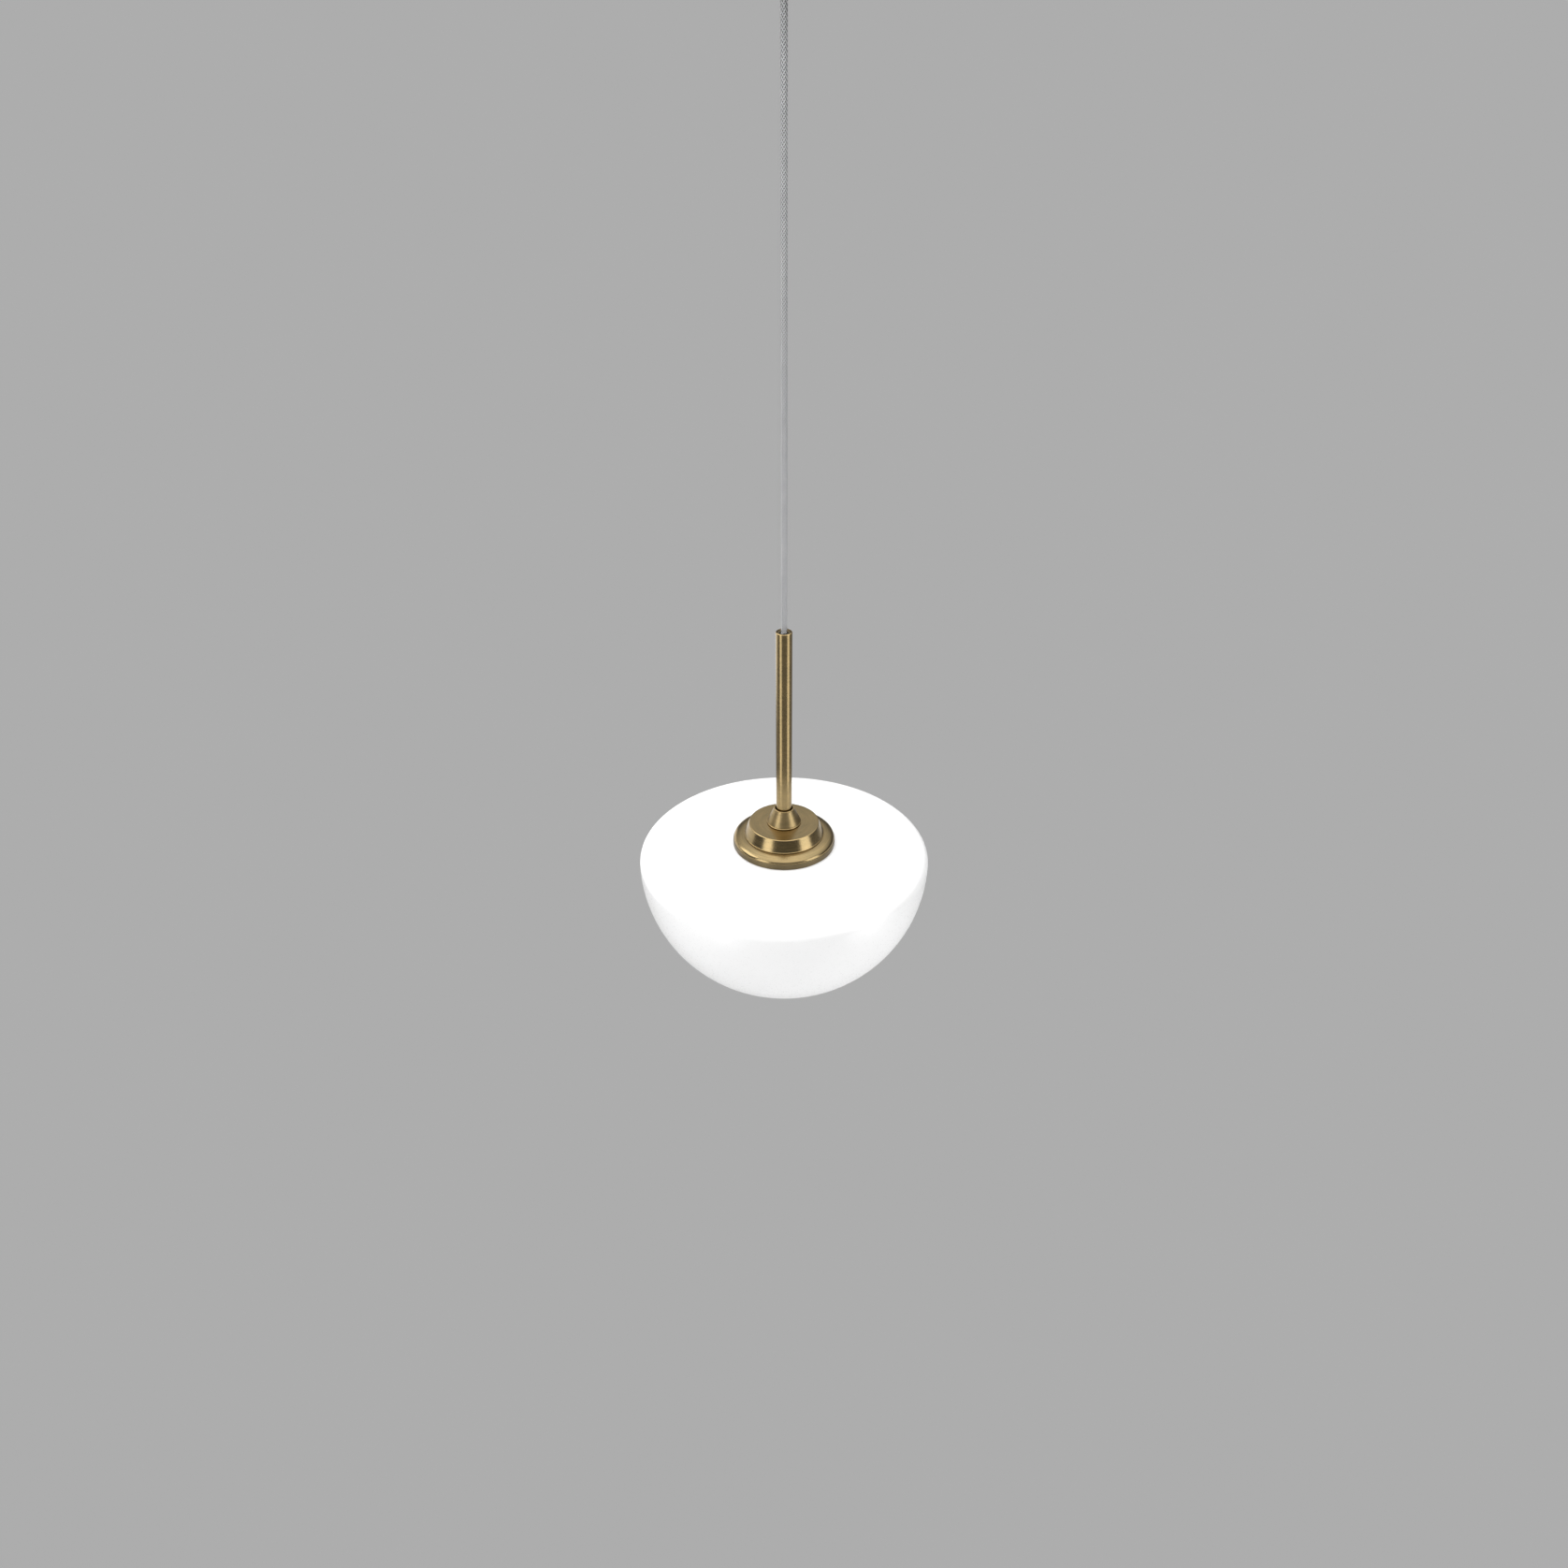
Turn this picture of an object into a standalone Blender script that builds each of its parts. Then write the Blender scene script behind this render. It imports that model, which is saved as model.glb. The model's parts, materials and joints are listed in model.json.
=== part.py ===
"""A pendant ceiling light: an opal glass bowl under a stepped brass fitter and stem, on a braided cord.

Metres, +Z up. The ceiling is the plane Z = 0, and the light hangs down the Z axis from it.
Run it with: blender --background --python part.py
"""

import math

import bmesh
import bpy
from mathutils import Matrix, Vector

# ---------------------------------------------------------------- driving dimensions, in metres
PLAY = 0.0003                 # the gap between two pieces that rest on each other

# Ceiling fitting
CANOPY_R = 0.050
CANOPY_DEPTH = 0.030
CANOPY_WALL = 0.0012
BRACKET_SPAN = 0.084
BRACKET_WIDTH = 0.018
BRACKET_SHEET = 0.002
BRACKET_TAB = 0.014           # how far the bent ends hang down
SIDE_SCREW_Z = -0.008
SIDE_SCREW_HOLE_R = 0.0022
GRIP_TOP = -0.020
GRIP_COLLAR_BOTTOM = -0.037
GRIP_BOTTOM = -0.050
GRIP_COLLAR_R = 0.0085
GRUB_SCREW_Z = -0.034
TERMINAL_SIZE = (0.034, 0.014, 0.0115)
TERMINAL_Z = -0.0083
TERMINALS = {"live": -0.010, "neutral": 0.0, "earth": 0.010}    # each core's place along X
CORES = {"live": "brown_core", "neutral": "blue_core", "earth": "green_core"}

# M10 thread, which the cord grip and the nipple share
THREAD_R = 0.005
NUT_ACROSS = 0.014
THREAD_HOLE_R = THREAD_R + PLAY

# Cord and stem
CORD_R = 0.003
CORD_BORE_R = CORD_R + 0.0004
CORD_UPPER_END = -0.0190      # where the cord ends above the grip, inside the canopy
CORD_TOP = -0.047             # where the free cord starts, inside the grip's bell mouth
STEM_TOP = -0.573
STEM_BOTTOM = -0.802
STEM_R = 0.008
STEM_BORE_R = 0.007
CORD_BOTTOM = STEM_TOP - 0.0022
BUSH_DEPTH = 0.0156           # how far the bush reaches into the stem
STRIPPED_END = -0.600         # where the cord's jacket ends inside the stem
INSERT_TOP = -0.789
CORD_POINTS = 34              # one point every two and a half diameters
WIRE_R = 0.0009

# Fitter: cone, step and flange, which slide up the stem together
CONE_TOP = -0.7675
CONE_BOTTOM = -0.7847
CONE_TOP_R = 0.0104
CONE_BASE_R = 0.0175
COVER_BORE_R = 0.009
STEP_TOP = CONE_BOTTOM - PLAY
STEP_BOTTOM = -0.7975
STEP_TOP_R = 0.0358
STEP_BASE_R = 0.0411
COVER_SHEET = 0.0013
FLANGE_TOP = STEP_BOTTOM - PLAY
FLANGE_BOTTOM = -0.8093
FLANGE_EDGE_R = 0.0513
FLANGE_R = 0.0526

# Glass bowl
GLASS_R = 0.150
GLASS_WALL = 0.0035
GLASS_LEVEL = -0.8264         # height of its widest circle
GLASS_DEPTH = 0.1473          # from there down to the bottom
GLASS_HOLE_R = 0.042
SHOULDER_R = 0.009            # the round turn from the bowl's side into the crown
CROWN_SLOPE = 5.0             # degrees that the crown falls from the hole to the shoulder

# Claw holder inside the glass
NIPPLE_BORE_R = 0.0036
NIPPLE_TOP = -0.792
NIPPLE_BOTTOM = -0.826
CARRIER_TOP = -0.8052
CARRIER_SHEET = 0.002
CARRIER_ARM_R = 0.036
CARRIER_ARM_WIDTH = 0.018
CARRIER_HUB_R = 0.013
CARRIER_EAR_R = 0.0357        # the middle of the ears that hold the pins
CLAW_ANGLES = {1: 90.0, 2: 210.0, 3: 330.0}
CLAW_PIVOT_R = 0.037
CLAW_PIVOT_Z = -0.8095
CLAW_REACH = 0.0475           # radius of the claw's tip
CLAW_WIDTH = 0.006
CLAW_FOOT_TOP = -0.8143
CLAW_SHEET = 0.0015
PIN_R = 0.001

# Lampholder and bulb
HOLDER_TOP = -0.814
HOLDER_R = 0.020
HOLDER_CORE_TOP = -0.829
HOLDER_CORE_BOTTOM = -0.836
HOLDER_SPLIT = -0.838         # where the cap ends and the skirt starts
HOLDER_BOTTOM = -0.868
THREAD_SHELL_R = 0.0146
BULB_TIP = -0.8403
BULB_BASE_R = 0.0132
BULB_SHELL_TOP = -0.8463
COLLAR_BOTTOM = -0.888
GLOBE_R = 0.030
GLOBE_Z = -0.908

AXIS = 1e-6                   # a radius under this lies on the axis
MERGE = 1e-5

# ---------------------------------------------------------------- materials
FINISHES = {                  # colour, metallic, roughness
    "antique_brass": ((0.42, 0.31, 0.16), 1.0, 0.32),
    "plain_brass": ((0.70, 0.55, 0.28), 1.0, 0.30),
    "zinc_steel": ((0.62, 0.62, 0.60), 1.0, 0.38),
    "nickel": ((0.72, 0.70, 0.66), 1.0, 0.25),
    "braid": ((0.72, 0.73, 0.75), 0.0, 0.60),
    "opal_glass": ((0.96, 0.96, 0.96), 0.0, 0.12),
    "porcelain": ((0.90, 0.89, 0.85), 0.0, 0.25),
    "white_plastic": ((0.85, 0.85, 0.83), 0.0, 0.45),
    "black_plastic": ((0.04, 0.04, 0.04), 0.0, 0.45),
    "silicone": ((0.80, 0.80, 0.78), 0.0, 0.70),
    "brown_core": ((0.25, 0.12, 0.06), 0.0, 0.50),
    "blue_core": ((0.05, 0.16, 0.45), 0.0, 0.50),
    "green_core": ((0.20, 0.50, 0.12), 0.0, 0.50),
}


def finish(name):
    """The material of this name, made on its first use."""
    if name in bpy.data.materials:
        return bpy.data.materials[name]
    colour, metallic, roughness = FINISHES[name]
    material = bpy.data.materials.new(name)
    material.use_nodes = True
    shader = material.node_tree.nodes["Principled BSDF"]
    shader.inputs["Base Color"].default_value = (*colour, 1.0)
    shader.inputs["Metallic"].default_value = metallic
    shader.inputs["Roughness"].default_value = roughness
    return material


# ---------------------------------------------------------------- scene and helpers
def clear_scene():
    for obj in list(bpy.data.objects):
        bpy.data.objects.remove(obj, do_unlink=True)


def new_collection(name):
    collection = bpy.data.collections.new(name)
    bpy.context.scene.collection.children.link(collection)
    return collection


clear_scene()
PARTS = new_collection("pendant_light")
CUTTERS = new_collection("cutters")


def place(name, data, material, location=(0, 0, 0), turn=None):
    """A new object in the light's collection."""
    obj = bpy.data.objects.new(name, data)
    data.materials.append(finish(material))
    PARTS.objects.link(obj)
    obj.matrix_world = Matrix.Translation(location) @ (turn or Matrix())
    return obj


def make_cutter(obj):
    """Turns an object into a helper that only cuts or is joined to another."""
    PARTS.objects.unlink(obj)
    CUTTERS.objects.link(obj)
    obj.hide_render = True
    obj.display_type = "WIRE"
    return obj


def boolean(obj, other, operation="DIFFERENCE"):
    modifier = obj.modifiers.new(operation.lower(), "BOOLEAN")
    modifier.object = make_cutter(other)
    modifier.operation = operation
    modifier.solver = "EXACT"


def turned(name, outline, material, steps=24):
    """A turned piece. The outline's (radius, height) points run down its outer side, then up its inner one."""
    mesh = bpy.data.meshes.new(name)
    ring = outline[0][0] > AXIS and outline[-1][0] > AXIS
    edges = [(i, i + 1) for i in range(len(outline) - 1)]
    if ring:
        edges.append((len(outline) - 1, 0))
    mesh.from_pydata([(r, 0.0, z) for r, z in outline], edges, [])
    obj = place(name, mesh, material)
    screw = obj.modifiers.new("turn", "SCREW")
    screw.angle = math.tau
    screw.steps = steps
    screw.render_steps = steps
    screw.use_smooth_shade = True
    screw.use_merge_vertices = not ring
    screw.merge_threshold = MERGE
    return obj


def ring_outline(outer_r, inner_r, top, bottom):
    return [(outer_r, top), (outer_r, bottom), (inner_r, bottom), (inner_r, top)]


def arc(centre_r, centre_z, radius, start, end, count):
    """Points of a round stretch, with the angles in degrees from +X towards +Z."""
    angles = [math.radians(start + (end - start) * i / count) for i in range(count + 1)]
    return [(centre_r + radius * math.cos(a), centre_z + radius * math.sin(a)) for a in angles]


def facing(direction):
    """The turn that brings +Z to this direction."""
    return Vector(direction).to_track_quat("Z", "Y").to_matrix().to_4x4()


def rod(name, radius, start, end, material, sides=12):
    """A plain round bar between two points."""
    start, end = Vector(start), Vector(end)
    mesh = bpy.data.meshes.new(name)
    shape = bmesh.new()
    bmesh.ops.create_cone(
        shape, cap_ends=True, segments=sides, radius1=radius, radius2=radius, depth=(end - start).length
    )
    shape.to_mesh(mesh)
    shape.free()
    mesh.shade_smooth()
    mesh.set_sharp_from_angle(angle=math.radians(40))
    return place(name, mesh, material, (start + end) / 2, facing(end - start))


def block(name, size, centre, material, turn=None, bevel=0.0):
    """A box, with its edges bevelled where a width is given."""
    mesh = bpy.data.meshes.new(name)
    shape = bmesh.new()
    bmesh.ops.create_cube(shape, size=1.0)
    bmesh.ops.scale(shape, vec=Vector(size), verts=shape.verts)
    shape.to_mesh(mesh)
    shape.free()
    obj = place(name, mesh, material, centre, turn)
    if bevel:
        modifier = obj.modifiers.new("edges", "BEVEL")
        modifier.width = bevel
        modifier.segments = 1
    return obj


def wire(name, points, radius, material, resolution=2):
    """A tube along a list of points."""
    curve = bpy.data.curves.new(name, "CURVE")
    curve.dimensions = "3D"
    curve.bevel_depth = radius
    curve.bevel_resolution = resolution
    curve.use_fill_caps = True
    spline = curve.splines.new("POLY")
    spline.points.add(len(points) - 1)
    for point, position in zip(spline.points, points):
        point.co = (*position, 1.0)
    return place(name, curve, material)


def sheet(name, outlines, thickness, material, location=(0, 0, 0), turn=None, solid=False):
    """A flat piece of even thickness. The first outline is its edge, and the others are its holes."""
    curve = bpy.data.curves.new(name, "CURVE")
    curve.dimensions = "2D"
    curve.fill_mode = "BOTH"
    curve.extrude = thickness / 2
    for outline in outlines:
        spline = curve.splines.new("POLY")
        spline.points.add(len(outline) - 1)
        for point, (x, y) in zip(spline.points, outline):
            point.co = (x, y, 0.0, 1.0)
        spline.use_cyclic_u = True
    obj = place(name, curve, material, location, turn)
    return as_mesh(obj) if solid else obj


def as_mesh(obj):
    """The same piece as a mesh, so that it can be cut."""
    bpy.context.view_layer.update()
    name = obj.name
    evaluated = obj.evaluated_get(bpy.context.evaluated_depsgraph_get())
    mesh = bpy.data.meshes.new_from_object(evaluated)
    shape = bmesh.new()
    shape.from_mesh(mesh)
    bmesh.ops.remove_doubles(shape, verts=shape.verts, dist=MERGE)
    bmesh.ops.recalc_face_normals(shape, faces=shape.faces)
    shape.to_mesh(mesh)
    shape.free()
    world = obj.matrix_world.copy()
    bpy.data.objects.remove(obj, do_unlink=True)
    solid = bpy.data.objects.new(name, mesh)
    PARTS.objects.link(solid)
    solid.matrix_world = world
    return solid


def circle(x, y, radius, count):
    angles = [math.tau * i / count for i in range(count)]
    return [(x + radius * math.cos(a), y + radius * math.sin(a)) for a in angles]


def hex_nut(name, top, height):
    """A brass M10 nut."""
    corner_r = NUT_ACROSS / 2 / math.cos(math.pi / 6)
    outlines = [circle(0, 0, corner_r, 6), circle(0, 0, THREAD_HOLE_R, 18)]
    return sheet(name, outlines, height, "plain_brass", (0, 0, top - height / 2))


def joint_empty(name, location, pieces):
    """An empty on a joint's axis, which carries the pieces that move on it."""
    empty = bpy.data.objects.new(name, None)
    PARTS.objects.link(empty)
    empty.location = location
    empty.empty_display_size = 0.02
    bpy.context.view_layer.update()
    for piece in pieces:
        piece.parent = empty
        piece.matrix_parent_inverse = empty.matrix_world.inverted()


# ---------------------------------------------------------------- ceiling fitting
def ceiling_bracket():
    """A steel strap with bent ends, which is screwed to the ceiling through its two slots."""
    half, tab, gauge = BRACKET_SPAN / 2, BRACKET_TAB, BRACKET_SHEET
    inner = half - gauge
    edge = [(-half, 0), (half, 0), (half, -tab), (inner, -tab), (inner, -gauge)]
    edge += [(-inner, -gauge), (-inner, -tab), (-half, -tab)]
    upright = Matrix.Rotation(math.pi / 2, 4, "X")
    bracket = sheet("ceiling_bracket", [edge], BRACKET_WIDTH, "zinc_steel", turn=upright, solid=True)
    for side in (-1, 1):
        slot = block("slot", (0.012, 0.0045, 0.01), (side * 0.024, 0, 0), "zinc_steel")
        boolean(bracket, slot)
        ends = [(side * 0.030, 0, SIDE_SCREW_Z), (side * 0.055, 0, SIDE_SCREW_Z)]
        boolean(bracket, rod("tab_hole", SIDE_SCREW_HOLE_R, ends[0], ends[1], "zinc_steel"))
    return bracket


def canopy():
    """The spun cup that hides the ceiling connection."""
    corner, inner_r = 0.005, CANOPY_R - CANOPY_WALL
    floor = -CANOPY_DEPTH + CANOPY_WALL
    outline = [(CANOPY_R, 0)]
    outline += arc(CANOPY_R - corner, corner - CANOPY_DEPTH, corner, 0, -90, 3)
    outline += [(THREAD_HOLE_R, -CANOPY_DEPTH), (THREAD_HOLE_R, floor)]
    outline += arc(CANOPY_R - corner, corner - CANOPY_DEPTH, corner - CANOPY_WALL, -90, 0, 2)
    outline += [(inner_r, 0)]
    cup = turned("canopy", outline, "antique_brass", 36)
    for side in (-1, 1):
        ends = [(side * 0.044, 0, SIDE_SCREW_Z), (side * 0.055, 0, SIDE_SCREW_Z)]
        boolean(cup, rod("side_hole", SIDE_SCREW_HOLE_R, ends[0], ends[1], "antique_brass"))
    return cup


def side_screw(name, side):
    """One of the two screws that hold the canopy to the bracket's bent ends."""
    head, head_r, shank_r, tip = CANOPY_R + PLAY, 0.0036, 0.0019, 0.0375
    outline = [(0, head + 0.002), (0.0028, head + 0.002), (head_r, head + 0.0012), (head_r, head)]
    outline += [(shank_r, head), (shank_r, tip), (0, tip)]
    screw = turned(name, outline, "antique_brass", 16)
    screw.matrix_world = Matrix.Translation((0, 0, SIDE_SCREW_Z)) @ facing((side, 0, 0))
    return screw


def cord_grip():
    """The bush that holds the cord in the canopy, with its washer, nut and grub screw."""
    shoulder = -CANOPY_DEPTH - PLAY
    outline = [(THREAD_R, GRIP_TOP), (THREAD_R, shoulder), (GRIP_COLLAR_R, shoulder)]
    outline += [(GRIP_COLLAR_R, GRIP_COLLAR_BOTTOM), (0.0068, GRIP_BOTTOM), (0.0055, GRIP_BOTTOM)]
    outline += [(0.0045, CORD_TOP - 0.0010), (CORD_BORE_R, CORD_TOP + 0.0015), (CORD_BORE_R, GRIP_TOP)]
    body = turned("cord_grip_body", outline, "antique_brass", 24)
    ends = [(0, 0.001, GRUB_SCREW_Z), (0, 0.012, GRUB_SCREW_Z)]
    boolean(body, rod("grub_hole", 0.0017, ends[0], ends[1], "antique_brass"))
    ends = [(0, CORD_BORE_R, GRUB_SCREW_Z), (0, GRIP_COLLAR_R - PLAY, GRUB_SCREW_Z)]
    rod("cord_grip_screw", 0.0014, ends[0], ends[1], "zinc_steel")
    washer, nut = 0.0008, 0.0035
    washer_top = -CANOPY_DEPTH + CANOPY_WALL + PLAY + washer
    outline = ring_outline(GRIP_COLLAR_R, THREAD_HOLE_R, washer_top, washer_top - washer)
    turned("cord_grip_washer", outline, "zinc_steel")
    hex_nut("cord_grip_nut", washer_top + PLAY + nut, nut)


def terminal_block():
    """The block where the house wiring meets the cord's three cores, with its clamp screws."""
    body = block("terminal_block", TERMINAL_SIZE, (0, 0, TERMINAL_Z), "white_plastic", bevel=0.001)
    front, bottom = -TERMINAL_SIZE[1] / 2, TERMINAL_Z - TERMINAL_SIZE[2] / 2
    for name, x in TERMINALS.items():
        ends = [(x, 0, bottom - 0.002), (x, 0, bottom + 0.004)]
        boolean(body, rod("entry", 0.0016, ends[0], ends[1], "white_plastic"))
        ends = [(x, front - 0.001, TERMINAL_Z), (x, front + 0.002, TERMINAL_Z)]
        boolean(body, rod("pocket", 0.0018, ends[0], ends[1], "white_plastic"))
        ends = [(x, front - 0.0002, TERMINAL_Z), (x, front + 0.0017, TERMINAL_Z)]
        rod("terminal_screw_" + name, 0.0014, ends[0], ends[1], "zinc_steel")


def feed_wires():
    """The cord's three cores, bared between the cord's top end and the terminal block."""
    start, end = CORD_UPPER_END + PLAY, TERMINAL_Z - 0.0032
    for name, x in TERMINALS.items():
        near = math.copysign(0.0019, x) if x else 0.0
        points = [(near, 0, start), (near, 0, start + 0.0006), (x * 0.7, 0, start + 0.0026)]
        points += [(x, 0, start + 0.0042), (x, 0, end)]
        wire("feed_wire_" + name, points, WIRE_R, CORES[name], 1)


# ---------------------------------------------------------------- cord
def cord_route():
    """The free cord hangs straight: it carries the whole light."""
    drop = CORD_BOTTOM - CORD_TOP
    return [(0.0, 0.0, CORD_TOP + drop * i / CORD_POINTS) for i in range(CORD_POINTS + 1)]


def cord_pieces():
    """The cord in three lengths: held in the grip, hanging free, and held in the stem. Returns the last."""
    room = 0.0016             # between the lengths, so that the free one can swing
    upper = [(0, 0, CORD_UPPER_END), (0, 0, CORD_TOP + room)]
    wire("cord_top_end", upper, CORD_R, "braid")
    free = wire("cord", cord_route(), CORD_R, "braid")
    joint_empty("cord_swing_axis", (0, 0, CORD_TOP), [free])
    lower = [(0, 0, CORD_BOTTOM - room), (0, 0, STRIPPED_END)]
    return wire("cord_bottom_end", lower, CORD_R, "braid")


# ---------------------------------------------------------------- stem
def stem_tube():
    chamfer = 0.0004
    outline = [(STEM_R - chamfer, STEM_TOP), (STEM_R, STEM_TOP - chamfer), (STEM_R, STEM_BOTTOM)]
    outline += [(STEM_BORE_R, STEM_BOTTOM), (STEM_BORE_R, STEM_TOP)]
    return turned("stem_tube", outline, "antique_brass", 32)


def stem_end_bush():
    """The bush in the stem's top end. Its flared hole lets the stem tilt on the cord."""
    outer_r = STEM_BORE_R - PLAY
    top, bottom = STEM_TOP - 0.0006, STEM_TOP - BUSH_DEPTH
    outline = [(outer_r, top), (outer_r, bottom), (CORD_BORE_R, bottom)]
    outline += [(CORD_BORE_R, CORD_BOTTOM - 0.0050), (0.0050, CORD_BOTTOM - 0.0020)]
    outline += [(0.0042, CORD_BOTTOM + 0.0006), (0.0042, top)]
    return turned("stem_end_bush", outline, "antique_brass", 24)


def stem_insides():
    """What the stem hides: the crimp under the bush, the bare cores and the threaded foot."""
    crimp_top = STEM_TOP - BUSH_DEPTH - PLAY
    outline = ring_outline(0.0055, CORD_BORE_R, crimp_top, crimp_top - 0.0065)
    crimp = turned("cord_crimp", outline, "plain_brass", 20)
    together, apart = 0.0016, 0.0022        # how far the cores lie from the axis, above and in the nipple
    wires = []
    for i, (name, material) in enumerate(CORES.items()):
        across = Matrix.Rotation(math.radians(90 + 120 * i), 3, "Z") @ Vector((1, 0, 0))
        points = [across * together + Vector((0, 0, z)) for z in (STRIPPED_END - PLAY, NIPPLE_TOP + 0.012)]
        points += [across * apart + Vector((0, 0, z)) for z in (NIPPLE_BOTTOM, HOLDER_CORE_TOP + PLAY)]
        wires.append(wire("core_wire_" + name, points, WIRE_R, material, 1))
    outline = ring_outline(STEM_BORE_R - PLAY, THREAD_HOLE_R, INSERT_TOP, STEM_BOTTOM)
    insert = turned("stem_insert", outline, "plain_brass")
    outline = ring_outline(THREAD_R, NIPPLE_BORE_R, NIPPLE_TOP, NIPPLE_BOTTOM)
    nipple = turned("threaded_nipple", outline, "plain_brass")
    return [crimp, insert, nipple, *wires]


# ---------------------------------------------------------------- claw holder
def radial(angle):
    """The frame of one claw: its X points outwards from the stem, and its Z lies along the hinge pin."""
    turn = Matrix.Rotation(math.radians(angle), 4, "Z")
    upright = Matrix.Rotation(math.pi / 2, 4, "X")
    return turn @ upright


def carrier():
    """The three-armed steel plate that hangs on the nipple, with two ears for each claw's pin."""
    half = CARRIER_ARM_WIDTH / 2
    reach = math.asin(half / CARRIER_HUB_R)
    edge = []
    for angle in CLAW_ANGLES.values():
        across = math.radians(angle)
        for radius, offset in ((CARRIER_HUB_R * math.cos(reach), -half), (CARRIER_ARM_R, -half)):
            edge.append(Matrix.Rotation(across, 2) @ Vector((radius, offset)))
        for radius, offset in ((CARRIER_ARM_R, half), (CARRIER_HUB_R * math.cos(reach), half)):
            edge.append(Matrix.Rotation(across, 2) @ Vector((radius, offset)))
    hole = circle(0, 0, THREAD_HOLE_R, 18)
    middle = CARRIER_TOP - CARRIER_SHEET / 2
    plate = sheet("claw_carrier", [edge, hole], CARRIER_SHEET, "zinc_steel", (0, 0, middle), solid=True)
    ear_top, ear_bottom = CARRIER_TOP - CARRIER_SHEET / 2, CLAW_PIVOT_Z - 0.0028
    for angle in CLAW_ANGLES.values():
        turn = Matrix.Rotation(math.radians(angle), 4, "Z")
        for side in (-1, 1):
            centre = turn @ Vector((CARRIER_EAR_R, side * 0.0078, (ear_top + ear_bottom) / 2))
            ear = block("ear", (0.0078, 0.0014, ear_top - ear_bottom), centre, "zinc_steel", turn)
            boolean(plate, ear, "UNION")
    for angle in CLAW_ANGLES.values():
        turn = Matrix.Rotation(math.radians(angle), 4, "Z")
        ends = [turn @ Vector((CLAW_PIVOT_R, side * 0.012, CLAW_PIVOT_Z)) for side in (-1, 1)]
        boolean(plate, rod("pin_hole", PIN_R + PLAY, ends[0], ends[1], "zinc_steel"))
    return plate


def claw(number, angle):
    """A bent strip that hooks under the glass. It folds inwards about its pin to let the glass pass."""
    eye_r, foot = 0.0026, CLAW_FOOT_TOP - CLAW_PIVOT_Z
    tip = CLAW_REACH - CLAW_PIVOT_R
    edge = [(0.0026, 0.0)]
    edge += [(eye_r * math.cos(a), eye_r * math.sin(a)) for a in (math.pi / 3, 2 * math.pi / 3, math.pi)]
    edge += [(-0.0026, foot), (-0.0016, foot - CLAW_SHEET), (tip - 0.0010, foot - CLAW_SHEET)]
    edge += [(tip, foot - CLAW_SHEET + 0.0006), (tip, foot), (0.0010, foot), (0.0010, -0.0024)]
    hole = circle(0, 0, PIN_R + PLAY, 10)
    turn = radial(angle)
    pivot = Matrix.Rotation(math.radians(angle), 4, "Z") @ Vector((CLAW_PIVOT_R, 0, CLAW_PIVOT_Z))
    strip = sheet(f"claw_{number}", [edge, hole], CLAW_WIDTH, "zinc_steel", pivot, turn)
    pad_at = turn @ Vector((tip - 0.0032, foot + PLAY + 0.0005, 0))
    pad = block(f"claw_pad_{number}", (0.0055, 0.0010, CLAW_WIDTH), pivot + pad_at, "silicone", turn)
    joint_empty(f"claw_{number}_axis", pivot, [strip, pad])


def claw_pin(number, angle):
    turn = Matrix.Rotation(math.radians(angle), 4, "Z")
    ends = [turn @ Vector((CLAW_PIVOT_R, side * 0.0092, CLAW_PIVOT_Z)) for side in (-1, 1)]
    return rod(f"claw_pin_{number}", PIN_R, ends[0], ends[1], "nickel", 10)


def claw_spring(number, angle):
    """The torsion spring beside a claw, with its coils closed up on the pin."""
    turns, pitch, inner_r, outer_r = 3, 0.0010, PIN_R + PLAY, 0.0023
    outline = []
    for i in range(turns):
        near = -pitch * i
        outline += [(outer_r - 0.0003, near), (outer_r, near - pitch / 2)]
    outline += [(outer_r - 0.0003, -pitch * turns), (inner_r, -pitch * turns), (inner_r, 0)]
    spring = turned(f"claw_spring_{number}", outline, "nickel", 12)
    turn = Matrix.Rotation(math.radians(angle), 4, "Z")
    seat = turn @ Vector((CLAW_PIVOT_R, CLAW_WIDTH / 2 + 0.0005, CLAW_PIVOT_Z))
    along_pin = turn @ Vector((0, -1, 0))
    spring.matrix_world = Matrix.Translation(seat) @ facing(along_pin)
    return spring


def claw_holder():
    outline = ring_outline(0.0078, THREAD_HOLE_R, STEM_BOTTOM - PLAY, CARRIER_TOP + PLAY)
    washer = turned("carrier_washer", outline, "zinc_steel", 20)
    nut = hex_nut("carrier_nut", CARRIER_TOP - CARRIER_SHEET - PLAY, 0.004)
    fixed = [washer, carrier(), nut]
    for number, angle in CLAW_ANGLES.items():
        fixed += [claw_pin(number, angle), claw_spring(number, angle)]
        claw(number, angle)
    return fixed


# ---------------------------------------------------------------- lampholder
def thread_outline(radius, top, ridges=5, pitch=0.0038, rise=0.0004):
    """The outer side of a thin threaded shell, as rings in place of the helix."""
    outline = []
    for i in range(ridges):
        outline += [(radius, top - pitch * i), (radius + rise, top - pitch * (i + 0.5))]
    return outline + [(radius, top - pitch * ridges)]


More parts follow.
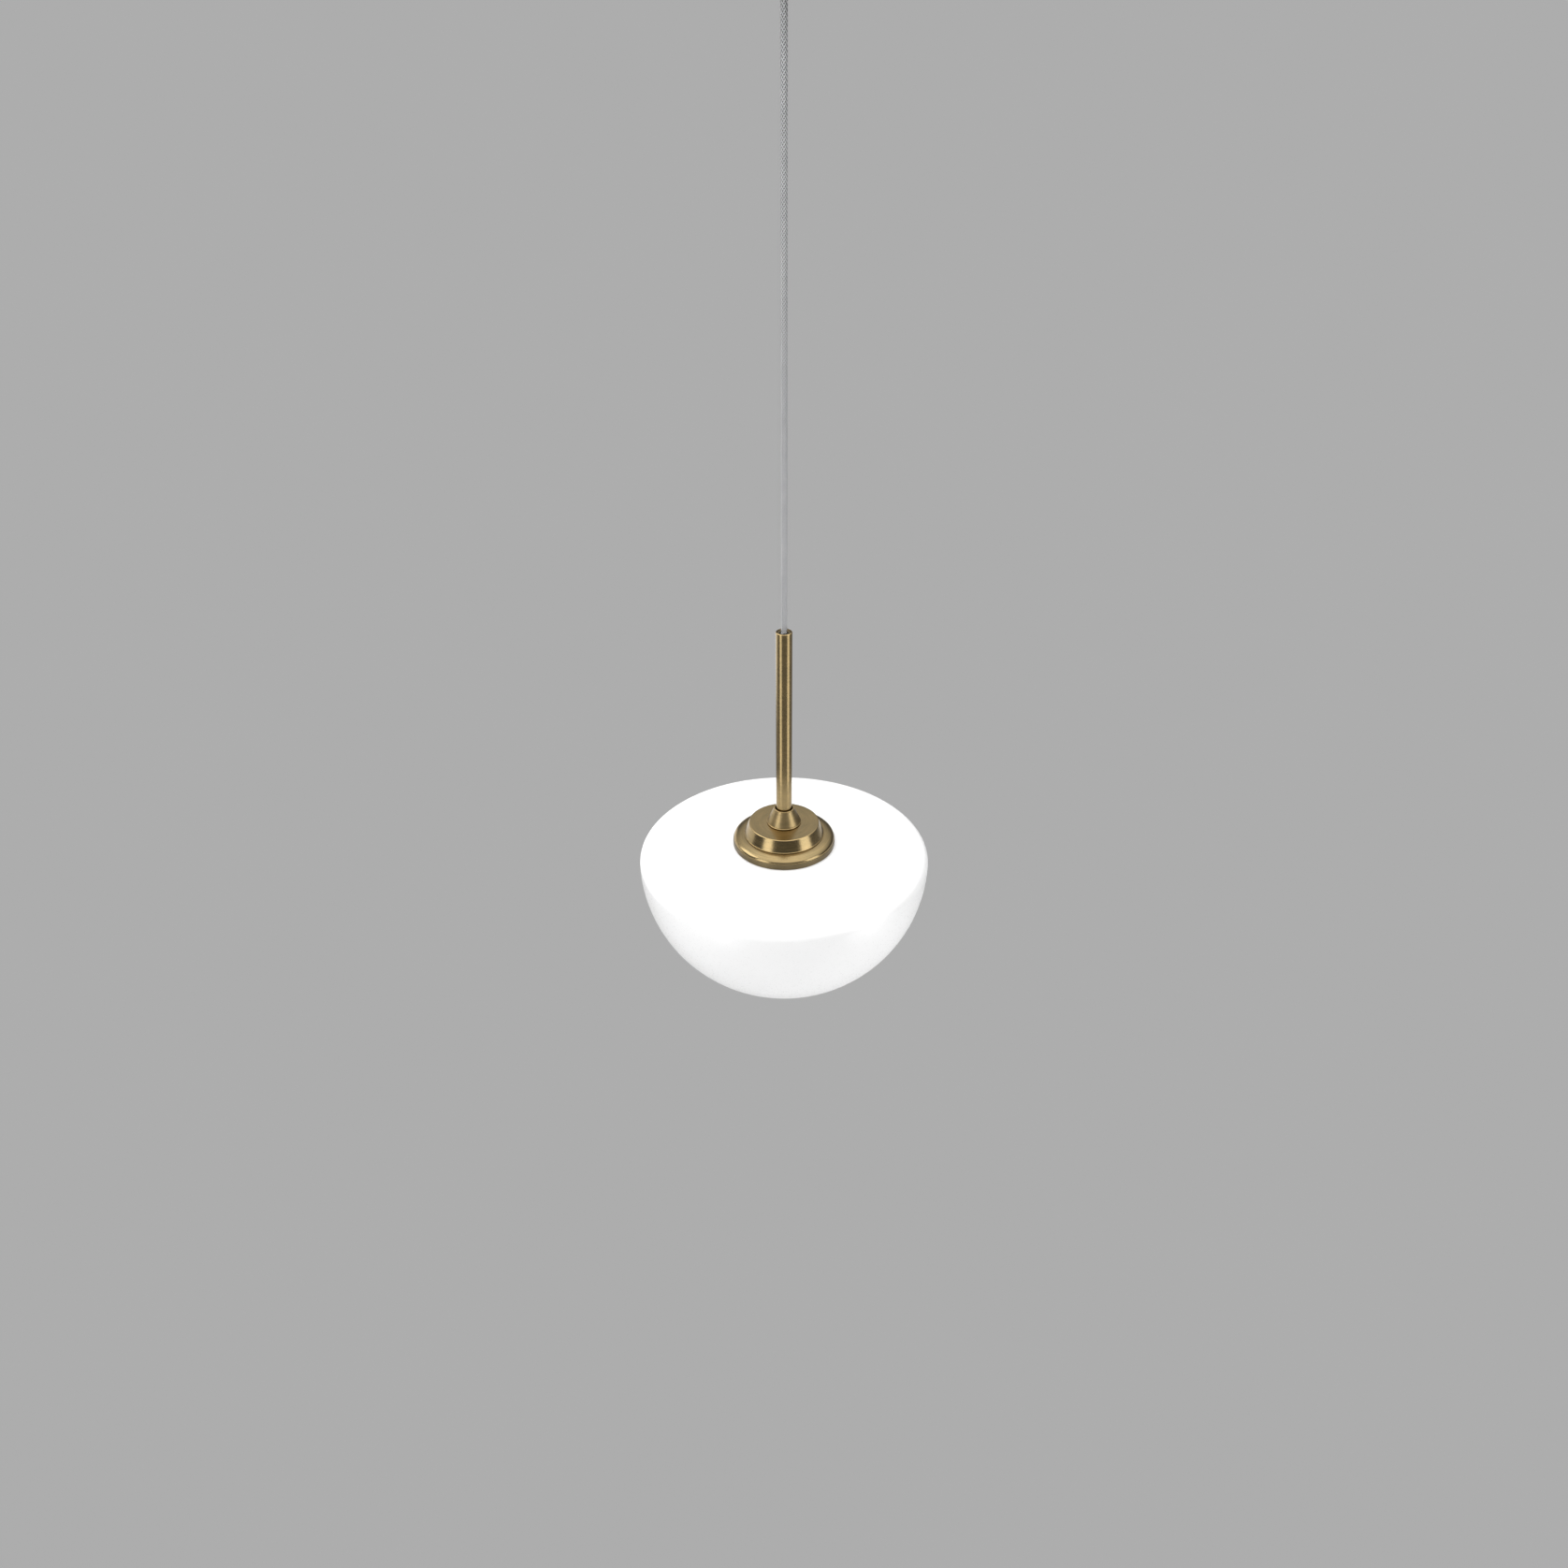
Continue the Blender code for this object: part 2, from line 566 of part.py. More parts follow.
def lampholder():
    wall = 0.0016
    inner_r = HOLDER_R - wall
    crown = [(0.0068, HOLDER_TOP), (0.0068, HOLDER_TOP - 0.004)]
    crown += arc(0.0120, -0.826, 0.008, 90, 0, 3)
    outline = crown + [(HOLDER_R, HOLDER_SPLIT), (inner_r, HOLDER_SPLIT)]
    outline += arc(0.0120, -0.826, 0.008 - wall, 0, 90, 2)
    outline += [(0.0053, -0.8196), (0.0053, HOLDER_TOP)]
    cap = turned("lampholder_cap", outline, "black_plastic", 24)

    core_r, top, bottom = 0.0176, HOLDER_CORE_TOP, HOLDER_CORE_BOTTOM
    outline = [(0, top), (core_r, top), (core_r, bottom), (0, bottom)]
    core = turned("lampholder_core", outline, "porcelain", 24)

    top, bottom = HOLDER_SPLIT - PLAY, HOLDER_BOTTOM
    outline = [(HOLDER_R, top), (HOLDER_R, top - 0.006), (0.0188, top - 0.007), (0.0182, bottom + 0.002)]
    outline += [(0.0190, bottom + 0.0015), (0.0190, bottom), (0.0164, bottom), (0.0168, top)]
    skirt = turned("lampholder_skirt", outline, "black_plastic", 24)

    outline = thread_outline(THREAD_SHELL_R, -0.8395)
    inner_r = THREAD_SHELL_R - 0.0006
    outline += [(inner_r, outline[-1][1]), (inner_r, outline[0][1])]
    shell = turned("lampholder_thread_shell", outline, "nickel", 20)

    tongue = [(-0.0060, 0.0), (0.0040, -0.0022), (0.0040, -0.0028), (-0.0060, -0.0006)]
    upright = Matrix.Rotation(math.pi / 2, 4, "X")
    below_core = (0, 0, HOLDER_CORE_BOTTOM - PLAY)
    contact = sheet("centre_contact", [tongue], 0.005, "plain_brass", below_core, upright)
    side = block("side_contact", (0.0006, 0.004, 0.010), (0.0156, 0, -0.8460), "plain_brass")
    return [cap, core, skirt, shell, contact, side]


# ---------------------------------------------------------------- fitter
def cover_cone():
    outline = [(CONE_TOP_R - 0.0003, CONE_TOP), (CONE_TOP_R, CONE_TOP - 0.0004)]
    outline += [(CONE_BASE_R - 0.0005, CONE_BOTTOM + 0.0016), (CONE_BASE_R, CONE_BOTTOM + 0.0012)]
    outline += [(CONE_BASE_R, CONE_BOTTOM), (COVER_BORE_R, CONE_BOTTOM), (COVER_BORE_R, CONE_TOP)]
    return turned("cover_cone", outline, "antique_brass", 36)


def cover_step():
    """The spun cup that stands on the flange."""
    edge, sheet_t = 0.0010, COVER_SHEET
    outline = [(COVER_BORE_R, STEP_TOP)]
    outline += arc(STEP_TOP_R - edge, STEP_TOP - edge, edge, 90, 22, 3)
    outline += [(STEP_BASE_R, STEP_BOTTOM), (STEP_BASE_R - sheet_t, STEP_BOTTOM)]
    outline += [(STEP_TOP_R - sheet_t, STEP_TOP - sheet_t), (COVER_BORE_R, STEP_TOP - sheet_t)]
    return turned("cover_step", outline, "antique_brass", 36)


def cover_flange():
    """The wide disc that covers the hole in the glass: a rounded brow, then a skirt down to the glass."""
    brow = 0.0062
    drop = FLANGE_EDGE_R - STEP_BASE_R
    turn = [math.radians(a) for a in (90, 63, 36, 12)]
    outline = [(STEP_BASE_R + drop * math.cos(a), FLANGE_TOP - brow + brow * math.sin(a)) for a in turn]
    inner = [(r - COVER_SHEET * 0.7, z - COVER_SHEET) for r, z in reversed(outline)]
    outline = [(COVER_BORE_R, FLANGE_TOP)] + outline + [(FLANGE_R - 0.0004, FLANGE_TOP - brow + 0.0004)]
    outline += [(FLANGE_R, FLANGE_BOTTOM), (FLANGE_R - COVER_SHEET, FLANGE_BOTTOM)]
    outline += [(FLANGE_R - COVER_SHEET - 0.0004, FLANGE_TOP - brow - COVER_SHEET)]
    outline += inner + [(COVER_BORE_R, FLANGE_TOP - COVER_SHEET)]
    return turned("cover_flange", outline, "antique_brass", 36)


def cover_ring():
    """The felt ring that keeps the flange off the glass."""
    return turned("cover_felt_ring", ring_outline(0.0465, 0.0426, -0.8008, -0.8084), "silicone", 28)


# ---------------------------------------------------------------- glass bowl
def bowl_side(inset, shoulder_count, bowl_count):
    """One face of the glass, from the hole's edge round to the bottom, this far inside the outer face."""
    radius, depth = GLASS_R - inset, GLASS_DEPTH - inset
    centre_r = GLASS_R - SHOULDER_R
    shoulder = arc(centre_r, GLASS_LEVEL, SHOULDER_R - inset, 90 - CROWN_SLOPE, 0, shoulder_count)
    crown_r, crown_z = shoulder[0]
    hole_z = crown_z + (crown_r - GLASS_HOLE_R) * math.tan(math.radians(CROWN_SLOPE))
    points = [(GLASS_HOLE_R, hole_z)] + shoulder
    for i in range(1, bowl_count):
        angle = math.pi / 2 * i / bowl_count
        points.append((radius * math.cos(angle), GLASS_LEVEL - depth * math.sin(angle)))
    return points + [(0.0, GLASS_LEVEL - depth)]


def glass_shade():
    outer = bowl_side(0.0, 4, 11)
    inner = bowl_side(GLASS_WALL, 3, 7)
    return turned("glass_shade", list(reversed(inner)) + outer, "opal_glass", 40)


# ---------------------------------------------------------------- bulb
def bulb():
    tip_bottom = BULB_TIP - 0.0020
    outline = [(0, BULB_TIP), (0.0035, BULB_TIP - 0.0007), (0.0045, tip_bottom), (0, tip_bottom)]
    tip = turned("bulb_tip_contact", outline, "nickel", 14)
    top, bottom = tip_bottom - PLAY, BULB_SHELL_TOP + PLAY
    outline = [(0, top), (0.0058, top), (0.0118, bottom), (0, bottom)]
    insulator = turned("bulb_insulator", outline, "black_plastic", 16)
    outline = thread_outline(BULB_BASE_R - 0.0004, BULB_SHELL_TOP)
    inner_r = BULB_BASE_R - 0.0012
    outline += [(inner_r, outline[-1][1]), (inner_r, outline[0][1])]
    shell = turned("bulb_base_shell", outline, "nickel", 20)

    top = outline[-2][1] - PLAY
    outline = [(0.0133, top), (0.0140, top - 0.004), (0.0226, COLLAR_BOTTOM), (0.0211, COLLAR_BOTTOM)]
    outline += [(0.0125, top - 0.0050), (0.0120, top - 0.0018), (0.0040, top - 0.0018), (0.0040, top)]
    collar = turned("bulb_collar", outline, "white_plastic", 20)
    outline = ring_outline(0.0180, 0.0020, COLLAR_BOTTOM + 0.0040, COLLAR_BOTTOM + 0.0027)
    board = turned("led_board", outline, "white_plastic", 20)

    wall, top = 0.0012, COLLAR_BOTTOM - PLAY
    outer_start = math.degrees(math.asin((top - GLOBE_Z) / GLOBE_R))
    inner_start = math.degrees(math.asin((top - GLOBE_Z) / (GLOBE_R - wall)))
    outer = arc(0, GLOBE_Z, GLOBE_R, outer_start, -90, 9)
    inner = arc(0, GLOBE_Z, GLOBE_R - wall, -90, inner_start, 7)
    outer[-1] = (0.0, GLOBE_Z - GLOBE_R)
    inner[0] = (0.0, GLOBE_Z - GLOBE_R + wall)
    globe = turned("bulb_globe", inner + outer, "opal_glass", 24)
    return [tip, insulator, shell, collar, board, globe]


# ---------------------------------------------------------------- assembly
def build():
    ceiling_bracket()
    canopy()
    side_screw("canopy_screw_left", -1)
    side_screw("canopy_screw_right", 1)
    cord_grip()
    terminal_block()
    feed_wires()
    cord_end = cord_pieces()
    fitter = [cover_cone(), cover_step(), cover_flange(), cover_ring()]
    stem = [stem_tube(), stem_end_bush(), cord_end, *stem_insides(), *claw_holder(), *lampholder()]
    joint_empty("stem_tilt_axis", (0, 0, CORD_BOTTOM), stem)
    joint_empty("cover_slide_axis", (0, 0, CONE_BOTTOM), fitter)
    joint_empty("shade_drop_axis", (0, 0, GLASS_LEVEL), [glass_shade()])
    joint_empty("bulb_out_axis", (0, 0, GLOBE_Z), bulb())


build()
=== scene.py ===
"""The pendant ceiling light's looks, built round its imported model. Metres, +Z up, the ceiling at Z = 0."""

import json
import math

import bmesh
import bpy
from mathutils import Matrix, Vector

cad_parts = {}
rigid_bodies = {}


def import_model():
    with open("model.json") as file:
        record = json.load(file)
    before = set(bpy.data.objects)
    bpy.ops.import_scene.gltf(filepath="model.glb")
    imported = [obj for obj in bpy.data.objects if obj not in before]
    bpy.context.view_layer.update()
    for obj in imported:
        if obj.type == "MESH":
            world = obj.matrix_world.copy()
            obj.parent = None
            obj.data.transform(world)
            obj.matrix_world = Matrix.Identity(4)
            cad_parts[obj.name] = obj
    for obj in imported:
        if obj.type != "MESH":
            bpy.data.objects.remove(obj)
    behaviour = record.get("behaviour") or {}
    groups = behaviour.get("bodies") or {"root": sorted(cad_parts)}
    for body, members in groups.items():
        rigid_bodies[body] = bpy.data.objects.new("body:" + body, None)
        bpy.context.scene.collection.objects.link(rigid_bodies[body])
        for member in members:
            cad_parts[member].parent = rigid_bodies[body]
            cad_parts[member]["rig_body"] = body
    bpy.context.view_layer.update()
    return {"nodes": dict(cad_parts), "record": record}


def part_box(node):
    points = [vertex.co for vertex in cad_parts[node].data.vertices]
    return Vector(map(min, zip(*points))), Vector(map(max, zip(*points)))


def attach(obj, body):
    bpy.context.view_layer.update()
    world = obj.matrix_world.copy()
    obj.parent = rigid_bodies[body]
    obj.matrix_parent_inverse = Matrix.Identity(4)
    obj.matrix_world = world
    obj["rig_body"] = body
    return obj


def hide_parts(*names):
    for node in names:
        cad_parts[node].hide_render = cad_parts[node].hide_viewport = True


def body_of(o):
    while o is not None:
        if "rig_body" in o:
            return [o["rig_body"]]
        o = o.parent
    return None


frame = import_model()

# ------------------------ driving dimensions, in metres
CORD_TOP, CORD_BOTTOM = -0.047, -0.5752

CORE_R = 0.0021  # the dark jacket under the braid
BRAID_R = 0.00252  # the middle of the woven layer
BRAID_WAVE = 0.00024  # how far a strand rises over another and dips under it
BRAID_REST = 1.35  # above 1, and a strand stays up or down for a while before it crosses over
STRAND_WIDTH = 0.00138
STRAND_DEPTH = 0.00036
STRANDS = 8  # in each direction
BRAID_LEAD = 0.0256  # the height of one full turn of a strand
STEPS_PER_LEAD = 36

SHOULDER_R = 0.009  # the glass bowl's round turn from its side into the crown
CROWN_SLOPE = 5.0  # degrees
GLASS_HOLE_R = 0.042
GLASS_WALL = 0.0035

COVER_BORE_R = 0.009  # the hole for the stem in the cone, the step and the flange
COVER_GAUGE = 0.0013  # the thickness of the spun sheet of the step and the flange

PLAY = 0.0003  # the gap between two pieces that rest on each other
THREAD_R = 0.005  # M10
THREAD_PITCH = 0.001
THREAD_RISE = 0.0004  # from the root to the crest of the threads here
CAP_PITCH = 0.0038  # the pitch of the bulb's screw cap
SCREW_HOLE_R = 0.0022  # the holes for the canopy's screws
SHARP_EDGE = 32.0  # degrees: a sharper turn is shaded as an edge
WORN_FROM, WORN_SPAN = 7.0, 10.0  # degrees: an edge this sharp starts to wear, and this much more wears fully
HOLD_SHARE, HOLD_MOST = 0.08, 0.0002  # of a straight side's length, and at most
AXIS = 1e-7  # a radius or a length under this counts as none

CAMERA_PITCH = 31.0  # degrees below the horizon
CAMERA_DISTANCE = 1.234  # from the point it looks at
CAMERA_LENS = 28.03  # millimetres, on a sensor 36 mm wide
LOOKS_AT = Vector((0.0, 0.0, -0.740))

FLOOR_Z = -2.4
BACKDROP_GREY = 0.418  # linear

SHADER_INPUTS = {
    "colour": "Base Color", "metallic": "Metallic", "roughness": "Roughness", "coat": "Coat Weight",
    "coat_roughness": "Coat Roughness", "sheen": "Sheen Weight",
}


# ------------------------ material nodes
class Nodes:
    """A new material's node tree, with short ways to add what the finishes here need."""

    def __init__(self, name):
        self.material = bpy.data.materials.new(name)
        self.material.use_nodes = True
        self.tree = self.material.node_tree
        self.shader = self.tree.nodes["Principled BSDF"]

    def add(self, kind, **settings):
        node = self.tree.nodes.new("ShaderNode" + kind)
        for key, value in settings.items():
            setattr(node, key, value)
        return node

    def wire(self, source, target):
        """Joins an output to an input, or sets the input to a plain value."""
        if isinstance(source, bpy.types.NodeSocket):
            self.tree.links.new(source, target)
        else:
            target.default_value = source

    def position(self):
        return self.add("TexCoord").outputs["Object"]

    def math(self, operation, first, second=0.0):
        node = self.add("Math", operation=operation)
        self.wire(first, node.inputs[0])
        self.wire(second, node.inputs[1])
        return node.outputs[0]

    def stretched(self, scale):
        """The position, with each axis scaled by its own factor."""
        node = self.add("VectorMath", operation="MULTIPLY")
        self.wire(self.position(), node.inputs[0])
        node.inputs[1].default_value = scale
        return node.outputs[0]

    def noise(self, scale, detail=3.0, roughness=0.5, vector=None):
        node = self.add("TexNoise")
        self.wire(vector or self.position(), node.inputs["Vector"])
        node.inputs["Scale"].default_value = scale
        node.inputs["Detail"].default_value = detail
        node.inputs["Roughness"].default_value = roughness
        return node.outputs["Fac"]

    def spread(self, value, low, high, to_low=0.0, to_high=1.0):
        node = self.add("MapRange")
        self.wire(value, node.inputs["Value"])
        limits = (low, high, to_low, to_high)
        for name, limit in zip(("From Min", "From Max", "To Min", "To Max"), limits):
            node.inputs[name].default_value = limit
        return node.outputs["Result"]

    def mix(self, share, first, second):
        node = self.add("Mix", data_type="RGBA")
        self.wire(share, node.inputs["Factor"])
        for colour, name in ((first, "A"), (second, "B")):
            self.wire((*colour, 1.0) if hasattr(colour, "__len__") else colour, node.inputs[name])
        return node.outputs["Result"]

    def bump(self, height, distance, strength):
        node = self.add("Bump")
        node.inputs["Strength"].default_value = strength
        node.inputs["Distance"].default_value = distance
        self.wire(height, node.inputs["Height"])
        self.wire(node.outputs["Normal"], self.shader.inputs["Normal"])

    def edge_wear(self):
        """Where a turned piece turns over an edge: 0 on its flats, 1 on its edges."""
        return self.add("Attribute", attribute_name="edge").outputs["Fac"]

    def set(self, **values):
        """Sets inputs of the shader, by the names in SHADER_INPUTS."""
        for key, value in values.items():
            self.wire(value, self.shader.inputs[SHADER_INPUTS[key]])

    def surface(self, colour, roughness, bump, **constants):
        """A finish: what its colour follows, with its two ends, the same for its roughness, and its bump."""
        follows, darker, paler = colour
        grain, least, most = roughness
        self.set(colour=self.mix(self.spread(follows, 0.3, 0.7), darker, paler), **constants)
        self.set(roughness=self.spread(grain, 0.3, 0.7, least, most))
        self.bump(*bump)
        return self.material


def lathe_lines(nodes, across, around):
    """Fine rings cut by a turning tool or a brush, running round the light's axis."""
    place = nodes.add("SeparateXYZ")
    nodes.wire(nodes.position(), place.inputs[0])
    x, y, z = place.outputs
    radius = nodes.math("SQRT", nodes.math("ADD", nodes.math("MULTIPLY", x, x), nodes.math("MULTIPLY", y, y)))
    rings = nodes.add("CombineXYZ")
    nodes.wire(nodes.math("MULTIPLY", nodes.math("DIVIDE", x, radius), around), rings.inputs[0])
    nodes.wire(nodes.math("MULTIPLY", nodes.math("DIVIDE", y, radius), around), rings.inputs[1])
    nodes.wire(nodes.math("MULTIPLY", nodes.math("ADD", radius, z), across), rings.inputs[2])
    return rings.outputs[0]


def brass(name, pale, dark, roughness):
    """Aged brass: brushed round its axis, browned in blotches, rubbed paler along its edges."""
    nodes = Nodes(name)
    streaks = nodes.noise(1.0, 4.0, 0.62, lathe_lines(nodes, 2600.0, 0.9))
    broad = nodes.noise(1.0, 3.0, 0.55, lathe_lines(nodes, 420.0, 1.6))
    blotches = nodes.noise(46.0, 5.0, 0.62)
    tone = nodes.math("ADD", nodes.math("MULTIPLY", streaks, 0.45), nodes.math("MULTIPLY", broad, 0.25))
    tone = nodes.math("ADD", tone, nodes.math("MULTIPLY", blotches, 0.30))
    colour = nodes.mix(nodes.spread(tone, 0.36, 0.66), dark, pale)
    worn = tuple(min(1.0, c * 1.3) for c in pale)
    nodes.set(colour=nodes.mix(nodes.edge_wear(), colour, worn), metallic=1.0)
    nodes.set(roughness=nodes.spread(tone, 0.30, 0.72, roughness - 0.03, roughness + 0.05))
    nodes.bump(streaks, 0.000012, 0.45)
    return nodes.material


def plated(name, colour, roughness, mottled=0.10):
    """Plated steel or turned metal: faint spangle, fine scratches, brighter edges."""
    nodes = Nodes(name)
    spangle = nodes.noise(900.0, 3.0, 0.6)
    scratches = nodes.noise(1.0, 3.0, 0.6, nodes.stretched((300.0, 2600.0, 1200.0)))
    darker = tuple(c * (1.0 - mottled) for c in colour)
    paler = tuple(min(1.0, c * (1.0 + mottled)) for c in colour)
    base = nodes.mix(nodes.spread(spangle, 0.35, 0.65), darker, paler)
    worn = tuple(min(1.0, c * 1.25) for c in colour)
    nodes.set(colour=nodes.mix(nodes.edge_wear(), base, worn), metallic=1.0)
    nodes.set(roughness=nodes.spread(scratches, 0.3, 0.7, roughness - 0.06, roughness + 0.08))
    nodes.bump(scratches, 0.000010, 0.5)
    return nodes.material


def moulded(name, colour, roughness):
    """Moulded plastic: a fine spark-eroded grain and slight flow marks."""
    nodes = Nodes(name)
    grains = nodes.noise(1500.0, 2.0, 0.5)
    flow = nodes.noise(60.0, 3.0, 0.5)
    darker = tuple(c * 0.90 for c in colour)
    paler = tuple(min(1.0, c * 1.06 + 0.004) for c in colour)
    spark_grain = (grains, roughness - 0.06, roughness + 0.08)
    return nodes.surface((flow, darker, paler), spark_grain, (grains, 0.000018, 0.6))


def opal_glass():
    """White opal glass: even and bright, with a soft fire-polished skin and the faintest cast ripple."""
    nodes = Nodes("opal_glass")
    clouds = nodes.noise(14.0, 4.0, 0.5)
    ripple = nodes.noise(38.0, 2.0, 0.4)
    specks = nodes.noise(700.0, 1.0, 0.5)
    colours, skin = (clouds, (0.925,) * 3, (0.955,) * 3), (specks, 0.27, 0.33)
    return nodes.surface(colours, skin, (ripple, 0.00012, 0.35), coat=0.25, coat_roughness=0.12)


def porcelain():
    """Glazed porcelain: warm white, cloudy and finely pitted."""
    nodes = Nodes("porcelain")
    clouds = nodes.noise(120.0, 4.0, 0.6)
    pits = nodes.noise(1400.0, 2.0, 0.6)
    colours, glaze = (clouds, (0.84, 0.82, 0.77), (0.92, 0.91, 0.87)), (pits, 0.16, 0.30)
    return nodes.surface(colours, glaze, (pits, 0.00002, 0.5), coat=0.5, coat_roughness=0.08)


def silicone():
    """Soft pale rubber: matt, with a powdery bloom."""
    nodes = Nodes("silicone")
    bloom = nodes.noise(260.0, 4.0, 0.6)
    colours = (bloom, (0.70, 0.70, 0.67), (0.80, 0.80, 0.77))
    return nodes.surface(colours, (bloom, 0.62, 0.78), (bloom, 0.00003, 0.5), sheen=0.25)


def felt():
    """Pressed grey-white felt: tangled fibres."""
    nodes = Nodes("felt")
    fibres = nodes.noise(1.0, 5.0, 0.7, nodes.stretched((900.0, 900.0, 2200.0)))
    clumps = nodes.noise(180.0, 3.0, 0.6)
    colours = (clumps, (0.60, 0.59, 0.56), (0.78, 0.77, 0.74))
    return nodes.surface(colours, (fibres, 0.82, 0.98), (fibres, 0.00018, 0.8), sheen=0.4)


def braid_thread():
    """Silver-grey thread: satin, with the fine yarns of each flat strand and an uneven dye; painted shade
    darkens the creases between yarns and each strand's flanks.
    """
    nodes = Nodes("braid")
    yarn_count = 4
    across = nodes.add("Attribute", attribute_name="across").outputs["Fac"]
    yarns = nodes.math("SINE", nodes.math("MULTIPLY", across, yarn_count * math.tau))
    fibre = nodes.noise(2400.0, 3.0, 0.6)
    dye = nodes.noise(130.0, 3.0, 0.6)
    tone = nodes.math("ADD", nodes.math("MULTIPLY", fibre, 0.5), nodes.math("MULTIPLY", dye, 0.5))
    thread = nodes.mix(nodes.spread(tone, 0.35, 0.65), (0.78, 0.79, 0.81), (0.97, 0.97, 0.98))
    # painted shade: the creases between the yarns are darkened
    crease_shade = nodes.spread(yarns, -1.0, -0.2, 0.40, 0.0)
    # painted shade: each strand darkens to near black towards its flanks, where it meets its neighbours
    flank_shade = nodes.spread(nodes.math("ABSOLUTE", across), 0.50, 0.78)
    thread = nodes.mix(crease_shade, thread, (0.17, 0.175, 0.185))
    nodes.set(colour=nodes.mix(flank_shade, thread, (0.075, 0.077, 0.082)), sheen=0.15)
    nodes.set(roughness=nodes.spread(fibre, 0.3, 0.7, 0.22, 0.36))
    nodes.bump(yarns, 0.00006, 0.8)
    return nodes.material


def braid_jacket():
    """The dark jacket that shows between the strands."""
    nodes = Nodes("braid_jacket")
    fibre = nodes.noise(1800.0, 3.0, 0.6)
    colours = (fibre, (0.022, 0.022, 0.024), (0.050, 0.050, 0.054))
    return nodes.surface(colours, (fibre, 0.7, 0.9), (fibre, 0.00004, 0.6))


def insulation(name, colour, stripe=None):
    """The coloured insulation of one core, with the extrusion's faint lines; the earth has a second colour."""
    nodes = Nodes(name)
    lines = nodes.noise(1.0, 2.0, 0.5, nodes.stretched((2400.0, 2400.0, 60.0)))
    base = nodes.mix(nodes.spread(lines, 0.3, 0.7), tuple(c * 0.85 for c in colour), colour)
    if stripe:
        place = nodes.add("SeparateXYZ")
        nodes.wire(nodes.position(), place.inputs[0])
        base = nodes.mix(nodes.math("GREATER_THAN", place.outputs[1]), base, stripe)
    nodes.set(colour=base, roughness=nodes.spread(lines, 0.3, 0.7, 0.34, 0.46), coat=0.2, coat_roughness=0.2)
    nodes.bump(lines, 0.00002, 0.4)
    return nodes.material


AGED = (0.345, 0.250, 0.120), (0.215, 0.168, 0.086)
FINISHES = {
    "aged_brass": brass("aged_brass", *AGED, 0.21),
    "satin_brass": brass("satin_brass", *AGED, 0.36),
    "dark_brass": brass("dark_brass", (0.200, 0.155, 0.085), (0.110, 0.088, 0.048), 0.40),
    # the flange's skirt: the same brass made darker, as painted shade where the skirt hangs over the glass
    "shaded_skirt_brass": brass("shaded_skirt_brass", (0.175, 0.136, 0.074), (0.098, 0.077, 0.043), 0.34),
    "plain_brass": plated("plain_brass", (0.70, 0.54, 0.27), 0.30),
    "zinc_steel": plated("zinc_steel", (0.40, 0.41, 0.42), 0.36, 0.16),
    "nickel": plated("nickel", (0.68, 0.66, 0.62), 0.24, 0.05),
    "braid": braid_thread(),
    "braid_jacket": braid_jacket(),
    "opal_glass": opal_glass(),
    "porcelain": porcelain(),
    "white_plastic": moulded("white_plastic", (0.80, 0.80, 0.77), 0.42),
    "black_plastic": moulded("black_plastic", (0.030, 0.030, 0.031), 0.40),
    "silicone": silicone(),
    "felt": felt(),
    "brown_core": insulation("brown_core", (0.20, 0.085, 0.035)),
    "blue_core": insulation("blue_core", (0.03, 0.14, 0.44)),
    "green_core": insulation("green_core", (0.10, 0.38, 0.07), (0.80, 0.66, 0.06)),
}
# the material slot of each CAD node, which is also the name of its finish
SLOTS = {part["node"]: part["material_slot"] for part in frame["record"]["subparts"]}


# ------------------------ building pieces
def add(name, mesh):
    obj = bpy.data.objects.new(name, mesh)
    bpy.context.scene.collection.objects.link(obj)
    return obj


def stand_in(obj, node, *finishes):
    """obj takes the place of a CAD node: it rides on that node's body and has its material slot.

    Its finish is the slot's own, or else the finishes named here, in the order of its faces' material indices.
    """
    for finish in finishes or (SLOTS[node],):
        obj.data.materials.append(FINISHES[finish])
    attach(obj, body_of(frame["nodes"][node])[0])
    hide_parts(node)
    return obj


def sharp_corner(before, corner, after):
    """The unit directions from a corner to its neighbours, and half of the angle between them."""
    back, on = (before - corner).normalized(), (after - corner).normalized()
    return back, on, back.angle(on) / 2


def hold(corner, neighbour, setback):
    """How far beyond an arc a straight side gets a point, so that its shading stays flat."""
    return min(HOLD_MOST, HOLD_SHARE * ((corner - neighbour).length - setback))


def rounded(corners, closed=True, count=4):
    """An outline with its corners turned into arcs. A corner is (x, y) or (x, y, radius of its arc)."""
    points = []
    for i, corner in enumerate(corners):
        radius = corner[2] if len(corner) > 2 else 0.0
        inside = closed or 0 < i < len(corners) - 1
        if not (radius and inside):
            points.append(tuple(corner[:2]))
            continue
        nearby = (corners[i - 1], corner, corners[(i + 1) % len(corners)])
        before, centre, after = (Vector(c[:2]) for c in nearby)
        back, on, half = sharp_corner(before, centre, after)
        setback = radius / math.tan(half)
        middle = centre + (back + on).normalized() * radius / math.sin(half)
        start = centre + back * setback - middle
        turn = (centre + on * setback - middle).angle_signed(start)
        points.append(tuple(centre + back * (setback + hold(centre, before, setback))))
        for step in range(count + 1):
            points.append(tuple(middle + Matrix.Rotation(turn * step / count, 2) @ start))
        points.append(tuple(centre + on * (setback + hold(centre, after, setback))))
    return points


def arc(centre_r, centre_z, radius, start, end, count):
    """The count + 1 points of an arc between two angles, in degrees."""
    angles = [math.radians(start + (end - start) * i / count) for i in range(count + 1)]
    return [(centre_r + radius * math.cos(a), centre_z + radius * math.sin(a)) for a in angles]


def circle(radius, height, count):
    """Points evenly round the axis."""
    angles = [math.tau * k / count for k in range(count)]
    return [(radius * math.cos(a), radius * math.sin(a), height) for a in angles]


